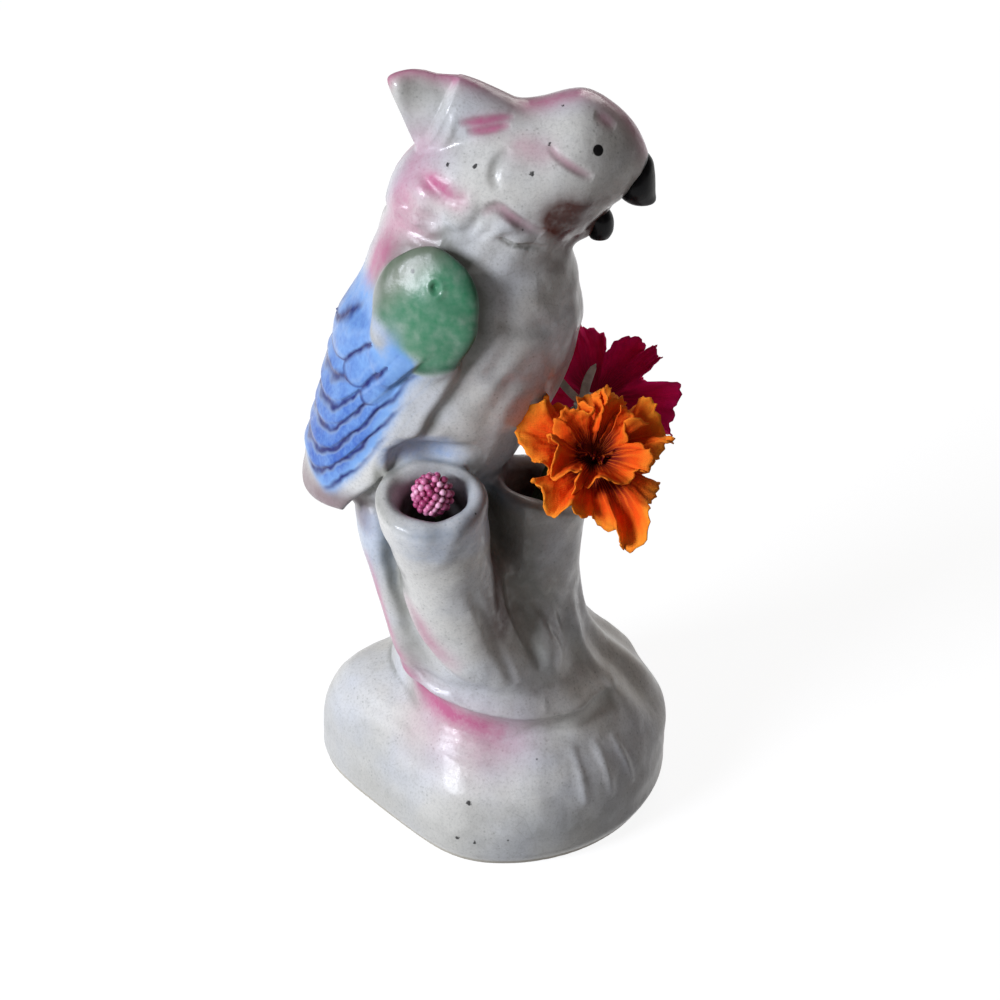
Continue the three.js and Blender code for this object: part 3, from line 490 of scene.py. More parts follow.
def relief(p):
    """How far the detail stands out of the smooth casting: lines, the crest's cut-back rear, feathers,
    hand-worked lumps and the ring on the dome."""
    x, y, z = p.T
    h = laid(mirrored_side(p), BIRD_RELIEF) + laid(p, STUMP_RELIEF)
    behind = -0.896 * (x + 6.8) + 0.443 * (z - 140.3)
    facet = step(behind, -0.3, 0.9) * (1 - step(behind, 3, 9.5)) * step(z, 130, 132.5)
    h -= 1.7 * facet * step(np.abs(y), 0.4, 1.4)
    inside = step(-wing_outside(x, z), 0.4, 1.6) * step(-CLOAK.distance(x, y, z), -2.2, -1.2)
    h += plumage(x, z) * inside * (1 - step(z, 98, 104))
    bird = step(z, 62, 70)
    smooth = 1 - step(z, 122, 127)
    ruff = step(z, 117, 120) * (1 - step(x, 2, 8))
    h += bird * smooth * (0.22 * lumps(p, 4.2) + 0.2 * lumps(p, 1.9, 2.0) * ruff)
    h += 0.1 * lumps(p, 5.5, 4.0) * (1 - smooth)
    h += (1 - bird) * (0.15 * lumps(p, 6.5, 1.0) + 0.03 * lumps(p, 2.6, 3.0)) * step(z, 1, 9)
    away = np.hypot(x + 9.7, (z - 112.6) * 0.9)
    ring = 0.2 * np.exp(-(((away - 1.2) / 0.6) ** 2)) - 0.5 * np.exp(-((away / 0.6) ** 2))
    return h + ring * step(np.abs(y), 12, 15)


def casting(p):
    """The casting's skin with its relief, for points in rows."""
    return clay(*p.T)[0] - relief(p)


# Meshes


def level_set(low, high, cell):
    """Surface nets: a vertex in each grid cell the skin crosses, a quad round each grid edge it crosses."""
    axes = [np.arange(a, b + cell, cell) for a, b in zip(low, high)]
    f = clay(axes[0][:, None, None], axes[1][None, :, None], axes[2][None, None, :])[0]
    n = np.array(f.shape)
    corner = np.array([(i, j, k) for i in (0, 1) for j in (0, 1) for k in (0, 1)])
    value = np.stack([f[i : n[0] - 1 + i, j : n[1] - 1 + j, k : n[2] - 1 + k] for i, j, k in corner], -1)
    cells = np.argwhere((value < 0).any(-1) & (value >= 0).any(-1))
    value = value[tuple(cells.T)]
    total, count = np.zeros((len(cells), 3)), np.zeros(len(cells))
    for a in range(8):
        for b in range(a + 1, 8):
            if np.abs(corner[a] - corner[b]).sum() == 1:
                va, vb = value[:, a], value[:, b]
                cross = (va < 0) != (vb < 0)
                t = np.where(cross, va / np.where(cross, va - vb, 1), 0)
                total += cross[:, None] * (corner[a] + t[:, None] * (corner[b] - corner[a]))
                count += cross
    points = np.array(low) + cell * (cells + total / count[:, None])
    index = np.full(n - 1, -1)
    index[tuple(cells.T)] = np.arange(len(cells))
    quads = []
    for axis in range(3):
        one, two = (axis + 1) % 3, (axis + 2) % 3
        inside = f < 0
        ahead = np.take(inside, range(1, n[axis]), axis)
        here = np.take(inside, range(n[axis] - 1), axis)
        for turn, edges in ((1, np.argwhere(here & ~ahead)), (-1, np.argwhere(~here & ahead))):
            edges = edges[(edges[:, one] > 0) & (edges[:, two] > 0)]
            ring = []
            for i, j in ((0, 0), (1, 0), (1, 1), (0, 1))[::turn]:
                at = edges.copy()
                at[:, one] -= 1 - i
                at[:, two] -= 1 - j
                ring.append(index[tuple(at.T)])
            quads.append(np.stack(ring, 1))
    return points, np.concatenate(quads)


def split_quads(points, quads):
    """Each quad as four, about the middles of its sides and of itself."""
    n = len(points)
    sides = np.stack([quads, np.roll(quads, -1, 1)], -1)
    pairs, which = np.unique(np.sort(sides.reshape(-1, 2), 1), axis=0, return_inverse=True)
    mid = n + which.reshape(-1, 4)
    centre = n + len(pairs) + np.arange(len(quads))
    new = np.vstack([points, points[pairs].mean(1), points[quads].mean(1)])
    small = [np.stack([quads[:, i], mid[:, i], centre, mid[:, i - 1]], 1) for i in range(4)]
    return new, np.concatenate(small)


def new_piece(name, points, faces, material, body, nodes, slot):
    """A smooth mesh object, given in millimetres, that rides on a body and stands for CAD nodes."""
    mesh = bpy.data.meshes.new(name)
    mesh.from_pydata(points * MM, [], faces if isinstance(faces, list) else faces.tolist())
    mesh.polygons.foreach_set("use_smooth", np.ones(len(mesh.polygons), bool))
    mesh.materials.append(material)
    piece = bpy.data.objects.new(name, mesh)
    bpy.context.scene.collection.objects.link(piece)
    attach(piece, body)
    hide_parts(*nodes)
    return piece


def write_values(piece, **values):
    """Numbers at each vertex, for the materials to read."""
    for name, value in values.items():
        piece.data.attributes.new(name, "FLOAT", "POINT").data.foreach_set("value", value.astype(np.float32))


def shell_piece(name, points, normals, faces, paint, material, nodes, slot):
    """A patch of the casting as a closed wall: the skin, the same skin further in, and a rim between them."""
    used, faces = np.unique(faces, return_inverse=True)
    faces = faces.reshape(-1, 4)
    n = len(used)
    sides = np.stack([faces, np.roll(faces, -1, 1)], -1).reshape(-1, 2)
    _, which, count = np.unique(np.sort(sides, 1), axis=0, return_inverse=True, return_counts=True)
    rim = sides[count[which.reshape(-1)] == 1]
    skin, out = points[used], normals[used]
    inner = skin - WALL * out
    inner[:, 2] = np.maximum(inner[:, 2], 0.3)
    edge = np.stack([rim[:, 1], rim[:, 0], n + rim[:, 0], n + rim[:, 1]], 1)
    quads = np.vstack([faces, n + faces[:, ::-1], edge])
    piece = new_piece(name, np.vstack([skin, inner]), quads, material, "figurine", nodes, slot)
    write_values(piece, **{k: np.tile(v[used], 2) for k, v in paint.items()})
    mesh = piece.data
    mesh.update()
    flat = np.empty(len(mesh.polygons) * 3)
    mesh.polygons.foreach_get("normal", flat)
    loops = np.repeat(flat.reshape(-1, 3), 4, axis=0)
    corner = np.vstack([out, -out])[quads.reshape(-1)]
    loops[: 8 * len(faces)] = corner[: 8 * len(faces)]
    mesh.normals_split_custom_set(loops.tolist())


def grid_faces(rows, around, poles=True):
    """Quads of a grid that closes round on itself, with a fan to a pole after each end; poles come last."""
    i, j = np.meshgrid(np.arange(rows - 1), np.arange(around), indexing="ij")
    k = (j + 1) % around
    low, high = i * around, (i + 1) * around
    faces = np.stack([low + j, low + k, high + k, high + j], -1).reshape(-1, 4).tolist()
    if poles:
        j = np.arange(around)
        k = (j + 1) % around
        first, last = rows * around, rows * around + 1
        faces += np.stack([k, j, np.full(around, first)], 1).tolist()
        end = (rows - 1) * around
        faces += np.stack([end + j, end + k, np.full(around, last)], 1).tolist()
    return faces


def closed_loft(sections):
    """Rings of points as one closed skin, with a pole at the middle of each end ring."""
    rows, around = sections.shape[:2]
    points = np.vstack([sections.reshape(-1, 3), sections[0].mean(0), sections[-1].mean(0)])
    return points, grid_faces(rows, around)


def joined(parts):
    """Several (points, faces) as one."""
    points, faces, n = [], [], 0
    for q, f in parts:
        points.append(q)
        faces += [[n + i for i in face] for face in f]
        n += len(q)
    return np.vstack(points), faces


def unit(v):
    """A vector, or rows of them, at length 1."""
    v = np.array(v, float)
    return v / np.linalg.norm(v, axis=-1, keepdims=True)


def rod(path, radii, sides=12):
    """A round section carried along a smooth path, its radius given at each corner."""
    path = np.array(path, float)
    reach = np.r_[0, np.cumsum(np.linalg.norm(np.diff(path, axis=0), axis=1))]
    at = np.linspace(0, reach[-1], 6 * len(path))
    x, y, z, r = hermite(np.column_stack([reach, path, np.broadcast_to(radii, len(path))]), at)
    middle = np.stack([x, y, z], 1)
    ahead = unit(np.gradient(middle, axis=0))
    across = unit(np.cross(ahead, (0.31, 0.95, 0.05)))
    over = np.cross(ahead, across)
    turn = np.linspace(0, 2 * np.pi, sides, endpoint=False)[None, :, None]
    ring = np.cos(turn) * across[:, None] + np.sin(turn) * over[:, None]
    return closed_loft(middle[:, None] + r[:, None, None] * ring)


# Shader maths


class Value:
    """A number on its way through a finish: each operator adds a Math node."""

    def __init__(self, finish, socket):
        self.finish, self.socket = finish, socket

    def __add__(self, other):
        return self.finish.math("ADD", self, other)

    def __sub__(self, other):
        return self.finish.math("SUBTRACT", self, other)

    def __rsub__(self, other):
        return self.finish.math("SUBTRACT", other, self)

    def __mul__(self, other):
        return self.finish.math("MULTIPLY", self, other)

    def __truediv__(self, other):
        return self.finish.math("DIVIDE", self, other)

    def __rtruediv__(self, other):
        return self.finish.math("DIVIDE", other, self)

    __radd__ = __add__
    __rmul__ = __mul__

    def step(self, low, high):
        """Smooth step from 0 at low to 1 at high."""
        sockets = {"Value": self, "From Min": low, "From Max": high}
        return self.finish.add("ShaderNodeMapRange", {"interpolation_type": "SMOOTHSTEP"}, sockets)


class Finish:
    """A material's nodes round one Principled shader."""

    def __init__(self, name, **fixed):
        self.material = bpy.data.materials.new(name)
        self.material.use_nodes = True
        self.nodes = self.material.node_tree.nodes
        self.links = self.material.node_tree.links
        self.shader = self.nodes["Principled BSDF"]
        self.set(self.shader, fixed)
        self.place = self.add("ShaderNodeTexCoord", out="Object")

    def set(self, node, sockets):
        """A node's sockets by name or number: a link for a Value, and otherwise a number or a colour."""
        for key, value in sockets.items():
            socket = node.inputs[key.replace("_", " ") if isinstance(key, str) else key]
            if isinstance(value, Value):
                self.links.new(value.socket, socket)
            elif hasattr(value, "__len__") and len(value) == 3 and socket.type == "RGBA":
                socket.default_value = (*value, 1)
            else:
                socket.default_value = value

    def add(self, kind, settings=None, sockets=None, out=0):
        """Any node: its settings first, then the values or links of its sockets; gives one of its outputs."""
        node = self.nodes.new(kind)
        for key, value in (settings or {}).items():
            setattr(node, key, value)
        self.set(node, sockets or {})
        return Value(self, node.outputs[out])

    def math(self, operation, *values):
        """A Math node."""
        return self.add("ShaderNodeMath", {"operation": operation}, dict(enumerate(values)))

    def mix(self, share, a, b):
        """Two colours mixed by a share."""
        settings = {"data_type": "RGBA", "clamp_factor": True}
        return self.add("ShaderNodeMix", settings, {0: share, 6: a, 7: b}, out=2)

    def value_of(self, name):
        """A number written on the vertices."""
        return self.add("ShaderNodeAttribute", {"attribute_name": name}, out="Fac")

    def noise(self, size, detail=2.0, rough=0.5):
        """Cloudy noise from 0 to 1, with features of a size."""
        sockets = {"Vector": self.place, "Scale": PER_METRE / size, "Detail": detail, "Roughness": rough}
        return self.add("ShaderNodeTexNoise", None, sockets)

    def cells(self, size, feature="F1", scatter=1.0):
        """Distance in scattered cells of a size, in shares of that size."""
        sockets = {"Vector": self.place, "Scale": PER_METRE / size, "Randomness": scatter}
        return self.add("ShaderNodeTexVoronoi", {"feature": feature}, sockets, out="Distance")

    def axes(self):
        """Object coordinates in millimetres."""
        parted = [self.add("ShaderNodeSeparateXYZ", None, {0: self.place}, out=k) for k in range(3)]
        return [metres * PER_METRE for metres in parted]

    def spot(self, centre, radius, at, soft=0.3, ragged=0.0):
        """1 inside a ball, 0 outside: its edge soft by a share of the radius and ragged by a distance."""
        sockets = {0: at, 1: tuple(c * MM for c in centre)}
        away = self.add("ShaderNodeVectorMath", {"operation": "DISTANCE"}, sockets, out="Value")
        return 1 - (away * PER_METRE + ragged).step(radius * (1 - soft), radius * (1 + soft))

    def finish(self, bump=None, strength=0.3, distance=0.0003, **sockets):
        """Links the shader's sockets, with a bump on its normal."""
        if bump is not None:
            shape = {"Height": bump, "Strength": strength, "Distance": distance}
            lift = self.add("ShaderNodeBump", None, shape)
            self.set(self.shader, {"Normal": lift})
        self.set(self.shader, sockets)
        return self.material


# Colours, as linear light

IVORY = (0.68, 0.66, 0.61)
COOL_WHITE = (0.62, 0.63, 0.65)
ASH = (0.3, 0.3, 0.275)
ROSE = (0.5, 0.13, 0.25)
COBALT = (0.035, 0.11, 0.43)
NAVY = (0.008, 0.014, 0.13)
SKY = (0.2, 0.38, 0.7)
LEAF_GREEN = (0.045, 0.2, 0.1)
BOTTLE_GREEN = (0.014, 0.075, 0.04)
# Smoke grey serves the crackle, the pepper specks and the painted shade in the creases.
SMOKE_AND_SHADE = (0.2, 0.2, 0.17)
# Dark red-brown: the throat's own brown and painted shade in the hollows.
OXBLOOD_AND_SHADE = (0.075, 0.018, 0.012)
BISCUIT = (0.55, 0.5, 0.4)
SOOT = (0.003, 0.003, 0.004)
WORN_SOOT = (0.012, 0.009, 0.008)
BRONZE = (0.2, 0.2, 0.15)

EYE = ((17, -9.2, 133), 1.0)
DOME_SPECK = ((-13.6, -16.1, 114.6), 0.5)
FOOT_SPECKS = [
    ((17.2, -23.9, 16.1), 0.75), ((9.4, -31.7, 6.3), 0.55), ((-4.8, -30.5, 13.5), 0.5),
    ((-7, -31.8, 6.3), 0.4), ((-3.7, -32.8, 6.1), 0.35), ((-22.9, -14.3, 10.9), 0.5),
    ((6.1, -24.4, 19.8), 0.4), ((11.4, -31, 6.6), 0.4), ((12.6, -30.4, 7.0), 0.45),
    ((-20.7, -6, 52.6), 0.8), ((9, -12.8, 52), 0.4),
]
FACE_SPECKS = [
    ((11.2, -3.5, 138.5), 0.3), ((-3.2, -9.8, 130.5), 0.4), ((-7.6, -8.2, 130), 0.3),
    ((8.9, -9.2, 134.1), 0.35), ((6.1, -11.5, 129.9), 0.4),
]


def glaze(name, wings=False):
    """Crackled ivory glaze mottled with ash over sprayed rose, cobalt and green, with iron specks, painted
    grey shade in the creases, partly glaze pooled there, painted brown shade in the hollows and a painted
    reflection on the domes.
    """
    f = Finish(name, Coat_Roughness=0.08, Specular_IOR_Level=0.25)
    x, y, z = f.axes()
    mirrored = f.add("ShaderNodeCombineXYZ", None, {0: x * MM, 1: f.math("ABSOLUTE", y) * -MM, 2: z * MM})
    grain = f.noise(0.5, 4, 0.7)
    colour = f.mix(f.noise(17, 3).step(0.35, 0.7), IVORY, COOL_WHITE)
    colour = f.mix(f.noise(3.4, 4, 0.6).step(0.48, 0.8) * 0.22 + grain.step(0.42, 0.78) * 0.42, colour, ASH)
    pepper = (1 - f.cells(1.1).step(0.08, 0.26)) * f.noise(5, 3).step(0.42, 0.62)
    colour = f.mix(pepper * 0.4, colour, SMOKE_AND_SHADE)
    # Painted shade: smoke grey in the creases, partly glaze pooled there.
    colour = f.mix(f.value_of("pool_and_shade") * (0.5 + 0.5 * f.noise(2.5, 3)), colour, SMOKE_AND_SHADE)
    veins = f.cells(3.4, "DISTANCE_TO_EDGE")
    colour = f.mix((1 - veins.step(0.004, 0.025)) * f.noise(9).step(0.52, 0.72) * 0.22, colour, SMOKE_AND_SHADE)
    soak = 0.35 + 0.7 * f.noise(4, 3) + 0.6 * f.noise(0.8, 3, 0.6)
    colour = f.mix(f.value_of("rose") * soak, colour, ROSE)
    blue = f.value_of("cobalt") * (0.35 + 0.75 * f.noise(4, 3) + 0.55 * f.noise(0.9, 3))
    colour = f.mix(blue.step(0, 0.6), colour, SKY)
    colour = f.mix(blue.step(0.45, 1.25), colour, COBALT)
    if wings:
        colour = feather_lines(f, colour, x, z)
    moss = f.mix(f.noise(2.6, 3).step(0.4, 0.8) * 0.5, LEAF_GREEN, f.mix(0.35, LEAF_GREEN, IVORY))
    moss = f.mix(f.value_of("bronze"), moss, BRONZE)
    # The dome's darker green edge, heavier on its lower edge as painted shade.
    moss = f.mix(f.value_of("rim"), moss, BOTTLE_GREEN)
    colour = f.mix(f.value_of("green") * (0.8 + 0.3 * f.noise(1.8, 3)), colour, moss)
    # Brown: partly the throat's own, partly painted shade in the mouths, the valley and under the chin.
    colour = f.mix(f.value_of("brown") * (0.7 + 0.6 * f.noise(1.5)), colour, OXBLOOD_AND_SHADE)
    ragged = 0.9 * (f.noise(0.4, 2) - 0.5)
    iron = f.cells(7.5) + 0.03 * (grain - 0.5)
    dots = (1 - iron.step(0.012, 0.04)) * f.noise(20).step(0.42, 0.55) * 0.8
    for places, at in ((FOOT_SPECKS, f.place), (FACE_SPECKS, mirrored)):
        for centre, radius in places:
            dots = f.math("MAXIMUM", dots, f.spot(centre, radius, at, ragged=ragged) * 0.9)
    dots = f.math("MAXIMUM", dots, f.spot(*EYE, mirrored, 0.1))
    dots = f.math("MAXIMUM", dots, f.spot(*DOME_SPECK, mirrored) * 0.7)
    dots = f.math("MAXIMUM", dots, f.value_of("black"))
    colour = f.mix(dots, colour, SOOT)
    bare = (1 - z.step(0.9, 1.9)) * 0.8
    colour = f.mix(bare * (0.6 + 0.6 * f.noise(1.2)), colour, BISCUIT)
    rough = 0.24 + 0.14 * f.noise(1.1, 3) + 0.4 * bare
    coat = (0.03 + 0.36 * f.noise(2.6, 3, 0.6).step(0.48, 0.62)) * (1 - bare) * (1 - 0.9 * dots)
    coat = coat * (1 - 0.65 * f.value_of("green")) * (0.3 + 0.7 * z.step(20, 40))
    wavy = 1.5 * f.noise(6, 2) + 0.45 * f.noise(1.7, 2) + 0.12 * grain
    return f.finish(wavy, 0.26, 0.0006, Base_Color=colour, Roughness=rough, Coat_Weight=coat)


def feather_lines(f, colour, x, z):
    """Cobalt run into the grooves between the feathers, on the same J-shaped rows as their relief."""
    u, v = feather_places(x, z)
    wave = f.noise(5, 2) - 0.5
    order = f.math("SMOOTH_MAX", *long_rows(u, v), LONG_BEND) + 0.9 * wave
    share = f.math("FRACT", order + 10)
    line = 1 - f.math("MINIMUM", share, (1 - share) * 1.2).step(0.0, 0.36)
    pale = f.math("PINGPONG", share + 0.35, 0.5).step(0.3, 0.5)
    row = f.math("FRACT", short_rows(v) + 10 + 0.3 * wave)
    end = short_end(row, u)
    over = end.step(-0.3, 0.4) * (1 - v.step(3.6, 5.2))
    beside = 1 - f.math("MINIMUM", row, 1 - row).step(0.0, 0.17)
    below = 1 - f.math("ABSOLUTE", end + 0.2).step(0.1, 1.3)
    seam = f.math("MAXIMUM", beside, below) * u.step(7.5, 11)
    dark = line * (1 - over) + seam * over
    blue = f.value_of("cobalt")
    pale = pale * (1 - over * 0.6) * blue * (0.5 + 0.8 * f.noise(3))
    colour = f.mix(pale, colour, f.mix(0.25, SKY, COOL_WHITE))
    return f.mix(dark * blue.step(0.1, 0.6) * (0.5 + 0.9 * f.noise(2.4, 3)), colour, NAVY)


ivory_glaze = glaze("ivory_glaze")
blue_glaze = glaze("blue_glaze", wings=True)
green_glaze = glaze("green_glaze")


def black_glaze():
    """Black enamel, worn brown in places."""
    f = Finish("black_glaze", Coat_Roughness=0.15, Coat_Weight=0.1, Specular_IOR_Level=0.1)
    colour = f.mix(f.noise(1.6, 3).step(0.55, 0.8), SOOT, WORN_SOOT)
    return f.finish(f.noise(0.8, 3), 0.15, 0.0003, Base_Color=colour, Roughness=0.35 + 0.2 * f.noise(0.9))


# The casting


CROWN_ROSE = strokes(
    0.0,
    (0.75, 1.6, [(-17.5, 0, 141.6), (-10, 0, 143), (-4, 0, 141.2)]),
    (0.6, 2.8, [(-4, 0, 141), (0, 0, 139.5), (6, 0, 137.5)]),
)
BROW_ROSE = strokes(0.0, (0.75, 3.2, [(4, 0, 138), (14, 0, 139.4), (20, 0, 136.8), (25, -1, 131)]))
NAPE_ROSE = strokes(
    0.0,
    (0.5, 4.6, [(-12.5, -4, 129), (-15, -6, 124), (-17, -6, 118.5), (-19.5, -6, 113)]),
    (0.5, 2.6, [(-19.5, -7, 113), (-23, -5, 106), (-26, -3, 99)]),
    (0.4, 2.0, [(-10.5, -8.5, 127), (-6, -11.4, 125)]),
)
FACE_ROSE = [
    *strokes(0.8, (0.75, 0.65, *CREST_LINES), (0.2, 1.6, *CREST_LINES), (0.25, 1.8, *NAPE_FOLDS)),
    *strokes(1.0, (0.55, 0.7, CHEEK_LINE), (0.45, 1.4, BROW_LINE), (0.55, 0.9, NECK_FOLD)),
    *strokes(0.0, (0.35, 2.4, [(4.5, -9.4, 133.8), (7.5, -9.6, 133)])),
    *strokes(0.9, (0.4, 1.2, [(-10.6, -7.5, 128.4), (-8.8, -9.7, 127.3), (-6.5, -11.3, 125.9)])),
]
FOOT_ROSE = [
    *strokes(0.4, (0.6, 2.6, FOOT_CORE)),
    *strokes(0.0, (0.4, 5.2, FOOT_CORE[1:])),
    *strokes(0.0, (0.15, 5.0, [(-14, -18.3, 20.8), (-8.3, -23.7, 19.8), (-2.8, -25.2, 19.5)])),
    *strokes(1.0, (0.5, 1.9, TRUNK_SEAM)),
    *strokes(0.5, (0.85, 1.5, TAIL_SEAM)),
]
# Brown under the chin and beak and down the breast: partly the throat's own brown, partly painted shade.
THROAT_BROWN_AND_SHADE = strokes(
    0.0,
    (2.0, 3.8, [(11.6, -11.6, 121.4), (12.8, -10.4, 120.4), (13.5, -7, 117.5), (15.3, -3.3, 115.6)]),
    (0.5, 1.7, [(15.6, -9.4, 123.4), (17.1, -9.1, 123.4), (18.8, -7.8, 123.5), (21, -6, 122.4)]),
    (0.35, 1.6, [(8.4, -9.8, 113.2), (11, -7.5, 111.3), (12.8, -4.1, 111.1)]),
    (0.28, 3.0, [(13.1, -6.4, 106.2), (13.8, -6.7, 98.7), (11.2, -9.7, 93.5), (8.6, -11.5, 89.6)]),
)
# Painted shade in the valley between the branches.
VALLEY_SHADE = strokes(0.0, (0.85, 4.5, VALLEY))


def wing_tips(x, z):
    """1 on the wings' tips over the tail."""
    return (1 - step(z, 67, 73)) * step(z, 60, 63) * (1 - step(x, -26, -20))


def niche_edge(x, y, z):
    """1 on the edge that the front branch leaves in the bird's side."""
    return (1 - step(np.abs(NICHE.distance(x, y, z)), 0.8, 2.2)) * step(z, 77, 79.5)


def rose_spray(p):
    """Sprayed rose: crown, nape, face and the foot of the trunk, each held to its most."""
    side = mirrored_side(p)
    crown = np.maximum(laid(side, CROWN_ROSE), laid(side, BROW_ROSE))
    rose = np.clip(crown, 0, 0.75) + np.clip(laid(side, NAPE_ROSE), 0, 0.7)
    return rose + laid(side, FACE_ROSE) + laid(p, FOOT_ROSE) + 0.2 * wing_tips(p[:, 0], p[:, 2])


def cobalt_spray(x, y, z):
    """Cobalt on the long feathers, thinner on the tail and the lower flank, and a thin cobalt tint on the
    niche's edge painted as its blue-grey shade.
    """
    u, v = feather_places(x, z)
    across, along = long_rows(u, v)
    wing = step(-wing_outside(x, z), -0.4, 1.2) * step(-CLOAK.distance(x, y, z), -2.4, -1.4)
    wing *= (1 - step(z, 103, 111)) * (1 - step(across, 2.6, 5.4)) * (1 - step(along, 2.3, 3.2))
    wing *= 1 - 0.85 * step(past_long(u, v), 2.0, 8.0)
    tail = 0.17 * step(z, 44, 62) * (1 - step(TAIL.distance(x, y, z), 0.2, 1.2)) * (1 - step(z, 64, 68))
    # Painted shade: a thin cobalt tint for the blue-grey shade on the niche's edge.
    ledge = 0.2 * niche_edge(x, y, z) * (1 - step(x, -9, -3))
    haze = 0.16 * step(-z, -88, -72) * step(z, 64, 68) * step(x, -22, -12) * (1 - step(x, 0, 10))
    return np.clip(wing, 0, 1) * (0.75 + 0.25 * step(-z, -100, -75)) + tail + ledge + haze


def brown_and_painted_shade(p):
    """Brown, partly the glaze's own and partly painted shade: under the chin and down the breast, painted
    shade inside the mouths and in the valley between the branches, browner low on the right of the foot, and
    on the wings' tips.
    """
    x, y, z = p.T
    # The throat's brown, deepened as painted shade under the chin and down the breast.
    throat = 0.85 * (1 - step(THROAT.distance(x, y, z), 0.2, 1.4)) + laid(mirrored_side(p), THROAT_BROWN_AND_SHADE)
    nearer = np.minimum(FRONT_BORE.distance(x, y, z), FLOWER_BORE.distance(x, y, z))
    # Painted shade inside the mouths' bores and in the valley between the branches.
    hollow = (1 - step(nearer, -0.2, 0.6)) * step(-z, -76, -71)
    valley = laid(p, VALLEY_SHADE) * (1 - step(z, 66, 70))
    foot = 0.18 * step(x, 18, 30) * (1 - step(z, 8, 18))
    return throat + 0.9 * hollow + valley + foot + 0.22 * wing_tips(x, z)


def crease_shade_and_pool(p, n):
    """Painted shade in the creases, partly glaze pooled there, from the skin's distance at 1.5 mm out and
    weaker on the niche's edge, and greyer patches on the wings' tips, the crest's cut-back rear and the head.
    """
    x, y, z = p.T
    crease = np.clip(2.2 * (1 - casting(p + 1.5 * n) / 1.5), 0, 1) * (1 - 0.8 * niche_edge(x, y, z))
    tips = 0.9 * (1 - step(z, 68, 73)) * step(z, 60, 63) * (1 - step(x, -25, -19))
    rear = 0.3 * step(-x - 0.45 * (z - 137), 6.3, 8) * step(z, 130, 133)
    return crease + 0.1 * step(z, 124, 130) + tips + rear


def paint_values(p, n):
    """Sprayed colours at the casting's points, each from 0 to 1, with painted light among them: painted shade
    in the creases, partly pooled glaze, painted brown shade in the hollows, and on the domes a painted
    reflection and painted shade on the rim's lower edge.
    """
    x, y, z = p.T
    across, up = x - DOME_MIDDLE[0], z - DOME_MIDDLE[2]
    dome = shoulder_distance(x, -np.abs(y), z)
    # A darker green edge round the dome, heavier on its lower edge as painted shade.
    rim = step(np.hypot(across / 8.6, up / 10.2), 0.72, 1.0) * (0.3 + 0.55 * step(-up, 0, 8))
    # Painted reflection: pale blue patches on the dome's lower left, which thin its green and add a little
    # cobalt.
    sheen = step(-across, 2, 6) * step(-up, -1, 5)
    green = (1 - step(dome, 0.2, 0.75)) * (1 - 0.4 * sheen)
    values = {
        "rose": rose_spray(p),
        "cobalt": cobalt_spray(x, y, z) * (1 - green) + 0.3 * sheen * (1 - step(dome, 0.5, 1.5)),
        "green": green,
        "rim": rim * green,
        "bronze": 0.85 * step(0.75 * up - 0.65 * across, 3, 8),
        # Brown, partly painted shade in the hollows, the valley and under the chin.
        "brown": brown_and_painted_shade(p),
        # Painted shade in the creases, partly pooled glaze, and greyer patches.
        "pool_and_shade": crease_shade_and_pool(p, n),
        "black": step(x - hermite(BEAK_EDGE, z)[0], -0.2, 0.2) * step(z, 117, 118.5),
    }
    return {name: np.clip(value, 0, 1) for name, value in values.items()}


def cast_patch(name, points, quads, split, material, slot):
    """One part's share of the casting, split where detail is fine, set on the skin, painted and walled."""
    used, quads = np.unique(quads, return_inverse=True)
    points, quads = points[used], quads.reshape(-1, 4)
    if split and FINE:
        points, quads = split_quads(points, quads)
    points = settle(casting, points, 2)
    normals = unit(slope_of(casting, points))
    paint = paint_values(points, normals)
    shell_piece(name + "_cast", points, normals, quads, paint, material, [name], slot)


def whole_casting():
    """The casting's quads, once more divided, raised by the relief along the smooth skin's normal."""
    points, quads = level_set(CLAY_LOW, CLAY_HIGH, CELL)
    points = settle(smooth_casting, points, 3)
    if FINE:
        points, quads = split_quads(points, quads)
    points = settle(smooth_casting, points, 1)
    return points + relief(points)[:, None] * unit(slope_of(smooth_casting, points)), quads


BODY_YIELDS = 0.05
BORE_SKIN = 0.7
FINE_PARTS = ("wing", "shoulder", "head", "crest")
SLOTS = {"wing": ("blue_glaze", blue_glaze), "shoulder": ("green_glaze", green_glaze)}
HANDS = (("right_", -1), ("left_", 1))

points, quads = whole_casting()
middle = points[quads].mean(1)
_, parted = clay(*middle.T)
parted["bird_body"] = parted["bird_body"] + BODY_YIELDS
label = np.argmin(np.stack([parted[k] for k in PARTS], 1), 1)
label[FRONT_BORE.distance(*middle.T) < BORE_SKIN] = PARTS.index("front_branch")
label[FLOWER_BORE.distance(*middle.T) < BORE_SKIN] = PARTS.index("flower_branch")
for i, part in enumerate(PARTS):
    slot, material = SLOTS.get(part, ("ivory_glaze", ivory_glaze))
    for hand, sign in HANDS if part in SLOTS else (("", 0),):
        chosen = (label == i) & ((middle[:, 1] * sign > 0) | (sign == 0))
        cast_patch(hand + part, points, quads[chosen], part in FINE_PARTS, material, slot)


def beak(table, rows=28, around=28):
    """Level ellipses from the tip up, closer together at both ends, with centres and radii from the table."""
    table = np.array(table, float)
    share = np.linspace(0, 1, rows)
    z = table[0, 0] + (table[-1, 0] - table[0, 0]) * (0.5 - 0.5 * np.cos(np.pi * share))
    x, a, b = hermite(table, z)
    turn = np.linspace(0, 2 * np.pi, around, endpoint=False)
    ring = [x[:, None] + a[:, None] * np.cos(turn), b[:, None] * np.sin(turn), z[:, None] + 0 * turn]
    return closed_loft(np.stack(ring, -1))


